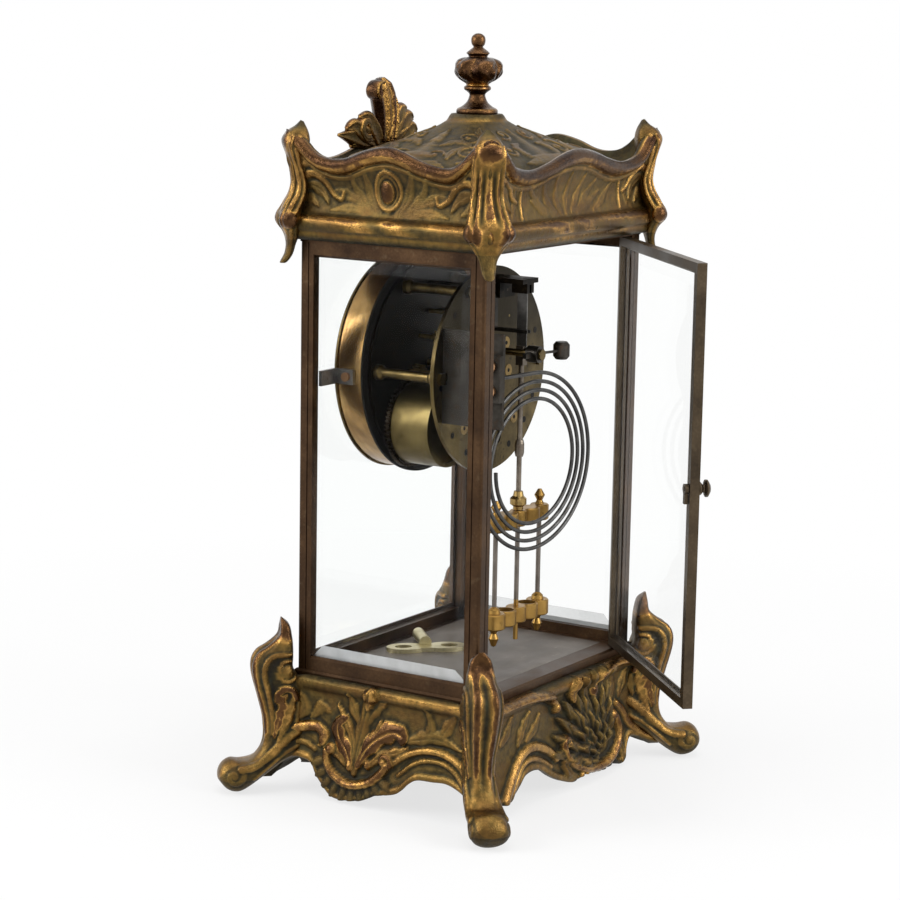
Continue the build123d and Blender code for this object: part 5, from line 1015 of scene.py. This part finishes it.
DIAL_FACE = 1000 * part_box("dial")[0][1]
INK = 0.10  # how far the figures stand out
HOURS, MINUTES = (41.0, 53.5), (57.4, 61.0)  # inner and outer radius of the figures
LETTERS = {  # width of each letter and its strokes
    "I": (2.6, [(0, 0, 0.75)]),
    "V": (5.4, [(0.2, -1.8, 0.8), (-0.1, 1.8, 0.4)]),
    "X": (5.4, [(1.8, -1.8, 0.8), (-1.8, 1.8, 0.4)]),
}


def bar(angle, inner, outer, low, high, wide):
    """Thin closed bar on the dial: its ends lie low and high across the radius at an angle in degrees."""
    u = np.array([np.sin(np.radians(angle)), np.cos(np.radians(angle))])
    v = np.array([u[1], -u[0]])
    side = np.stack([inner * u + (low - wide) * v, inner * u + (low + wide) * v,
                     outer * u + (high + wide) * v, outer * u + (high - wide) * v])
    x, z = side[:, 0], DIAL_Z + side[:, 1]
    rows = np.stack([np.stack([x, np.full(4, DIAL_FACE - h), z], -1) for h in (-INK, INK)])
    return tube_skin(rows, np.full((2, 4), 0.1))


def numeral(word):
    """Strokes of a Roman hour: how far across their inner and outer ends lie, and their half width."""
    at, strokes = -sum(LETTERS[c][0] for c in word) / 2, []
    for size, lines in (LETTERS[c] for c in word):
        strokes += [(at + size / 2 + low, at + size / 2 + high, wide) for low, high, wide in lines]
        at += size
    return strokes


def flat_ring(radius, wide, x=0.0, z=DIAL_Z, y=DIAL_FACE, rise=-INK):
    """Thin flat ring or disc about (x, z) on a face at y, standing out by rise."""
    turn = np.linspace(0, 2 * np.pi, 96, endpoint=False)[None, :]
    r = radius + wide * np.array([-1, 1, 1, -1])[:, None]
    deep = y + rise * np.array([-1, -1, 1, 1])[:, None] + 0 * turn
    return ring_skin(np.stack([x + r * np.cos(turn), deep, z + r * np.sin(turn)], -1), np.full((4, 96), 0.1))


words = "XII I II III IIII V VI VII VIII IX X XI".split()
figures = [bar(30 * hour, *HOURS, *stroke) for hour, word in enumerate(words) for stroke in numeral(word)]
ticks = [bar(6 * minute, *MINUTES, 0, 0, 0.22 if minute % 5 else 0.55) for minute in range(60)]
rings = [flat_ring(61.2, 0.2), flat_ring(57.2, 0.2), flat_ring(38.6, 0.25)]
piece("dial_figures", figures + ticks + rings, BLUED, smooth=False)


rear = 1000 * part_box("back_plate")[1][1]
wheels = ("second_wheel", "centre_wheel", "third_wheel", "pin_wheel", "warning_wheel", "time_barrel",
          "strike_barrel")
arbors = [1000 * np.mean(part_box(n), 0)[::2] for n in wheels]
HOLE_RING = 56.0  # radius on which the pin holes of the back plate lie
spread = np.radians([12, 48, 62, 96, 118, 131, 152, 205, 228, 246, 290, 322])
holes = [(HOLE_RING * np.sin(a), DIAL_Z + HOLE_RING * np.cos(a)) for a in spread]
piece("plate_bushes", [flat_ring(2.6, 1.3, x, z, rear, 0.2) for x, z in arbors], NUT,
      smooth=False)
# the holes are dark discs on the plate: painted shade inside them
piece("plate_holes", [flat_ring(1.05, 1.0, x, z, rear, 0.1) for x, z in holes + arbors], PAINTED_SHADE_BRASS,
      smooth=False)


# ---- Stage ----------------------------------------------------------------------


def stage():
    """Wide pale floor under a white world; both look brighter than the light they give."""
    f = finish("studio_floor")
    matt = f.node("ShaderNodeBsdfDiffuse", {}, {"Color": (0.80, 0.80, 0.80)})
    glow = f.node("ShaderNodeEmission", {}, {"Color": (1, 1, 1), "Strength": 1.0})
    x, y = f.axis("X"), f.axis("Y")
    pale = f.blend(f.span((x * x + y * y) ** 0.5, 0.15, 0.75, 0.74, 1.0), matt, glow)
    turn, radius = np.linspace(0, 2 * np.pi, 64, endpoint=False), 9.0
    disc = np.stack([radius * np.cos(turn), radius * np.sin(turn), 0 * turn], -1)
    mesh = bpy.data.meshes.new("studio_floor")
    mesh.from_pydata(disc.tolist(), [], [list(range(len(disc)))])
    mesh.materials.append(f.surface(f.blend(f.seen(), matt, pale)))
    placed("studio_floor", mesh)

    world = bpy.data.worlds.new("studio")
    world.use_nodes = True
    bpy.context.scene.world = world
    w = Nodes(world.node_tree)
    white = {"Color": (1, 1, 1), "Strength": w.span(w.seen(), 0, 1, 0.45, 1.0)}
    w.node("ShaderNodeOutputWorld", {}, {"Surface": w.node("ShaderNodeBackground", {}, white)})


def faced_from(place, back, roll=0.0):
    """Matrix of a lamp or camera at a place in metres with its back to a direction, rolled about that."""
    right = np.cross((0, 0, 1.0), back)
    right /= np.linalg.norm(right)
    up = np.cross(back, right)
    turn = np.eye(4)
    turn[:3, 0] = np.cos(roll) * right + np.sin(roll) * up
    turn[:3, 1] = np.cos(roll) * up - np.sin(roll) * right
    turn[:3, 2], turn[:3, 3] = back, place
    return Matrix(turn.tolist())


def lamp(name, place, aim, size, power):
    """Square soft lamp at a place in metres, facing an aim."""
    data = bpy.data.lights.new(name, "AREA")
    data.energy, data.size = power, size
    back = np.array(place) - np.array(aim)
    placed(name, data).matrix_world = faced_from(place, back / np.linalg.norm(back))


def camera():
    """Camera of the photograph: place, azimuth, pitch and roll found from the case's corners."""
    az, pitch, roll = np.radians([32.96, 10.1, 1.01])
    back = np.array([np.cos(az) * np.cos(pitch), np.sin(az) * np.cos(pitch), np.sin(pitch)])
    data = bpy.data.cameras.new("view")
    data.lens, data.sensor_width, data.clip_start = 106.1, 36.0, 0.05
    made = placed("view", data)
    made.matrix_world = faced_from(np.array([1387.8, 884.4, 503.3]) * MM, back, roll)
    bpy.context.scene.camera = made


stage()
lamp("lamp_left", (1.5, -1.3, 1.1), (0, 0, 0.22), 1.1, 26.0)
lamp("lamp_right", (-0.3, 1.9, 1.0), (0, 0, 0.22), 1.1, 27.0)
lamp("lamp_top", (0.2, 0.1, 2.0), (0, 0, 0.2), 1.4, 16.0)
camera()
bpy.context.scene.view_settings.view_transform = "Standard"
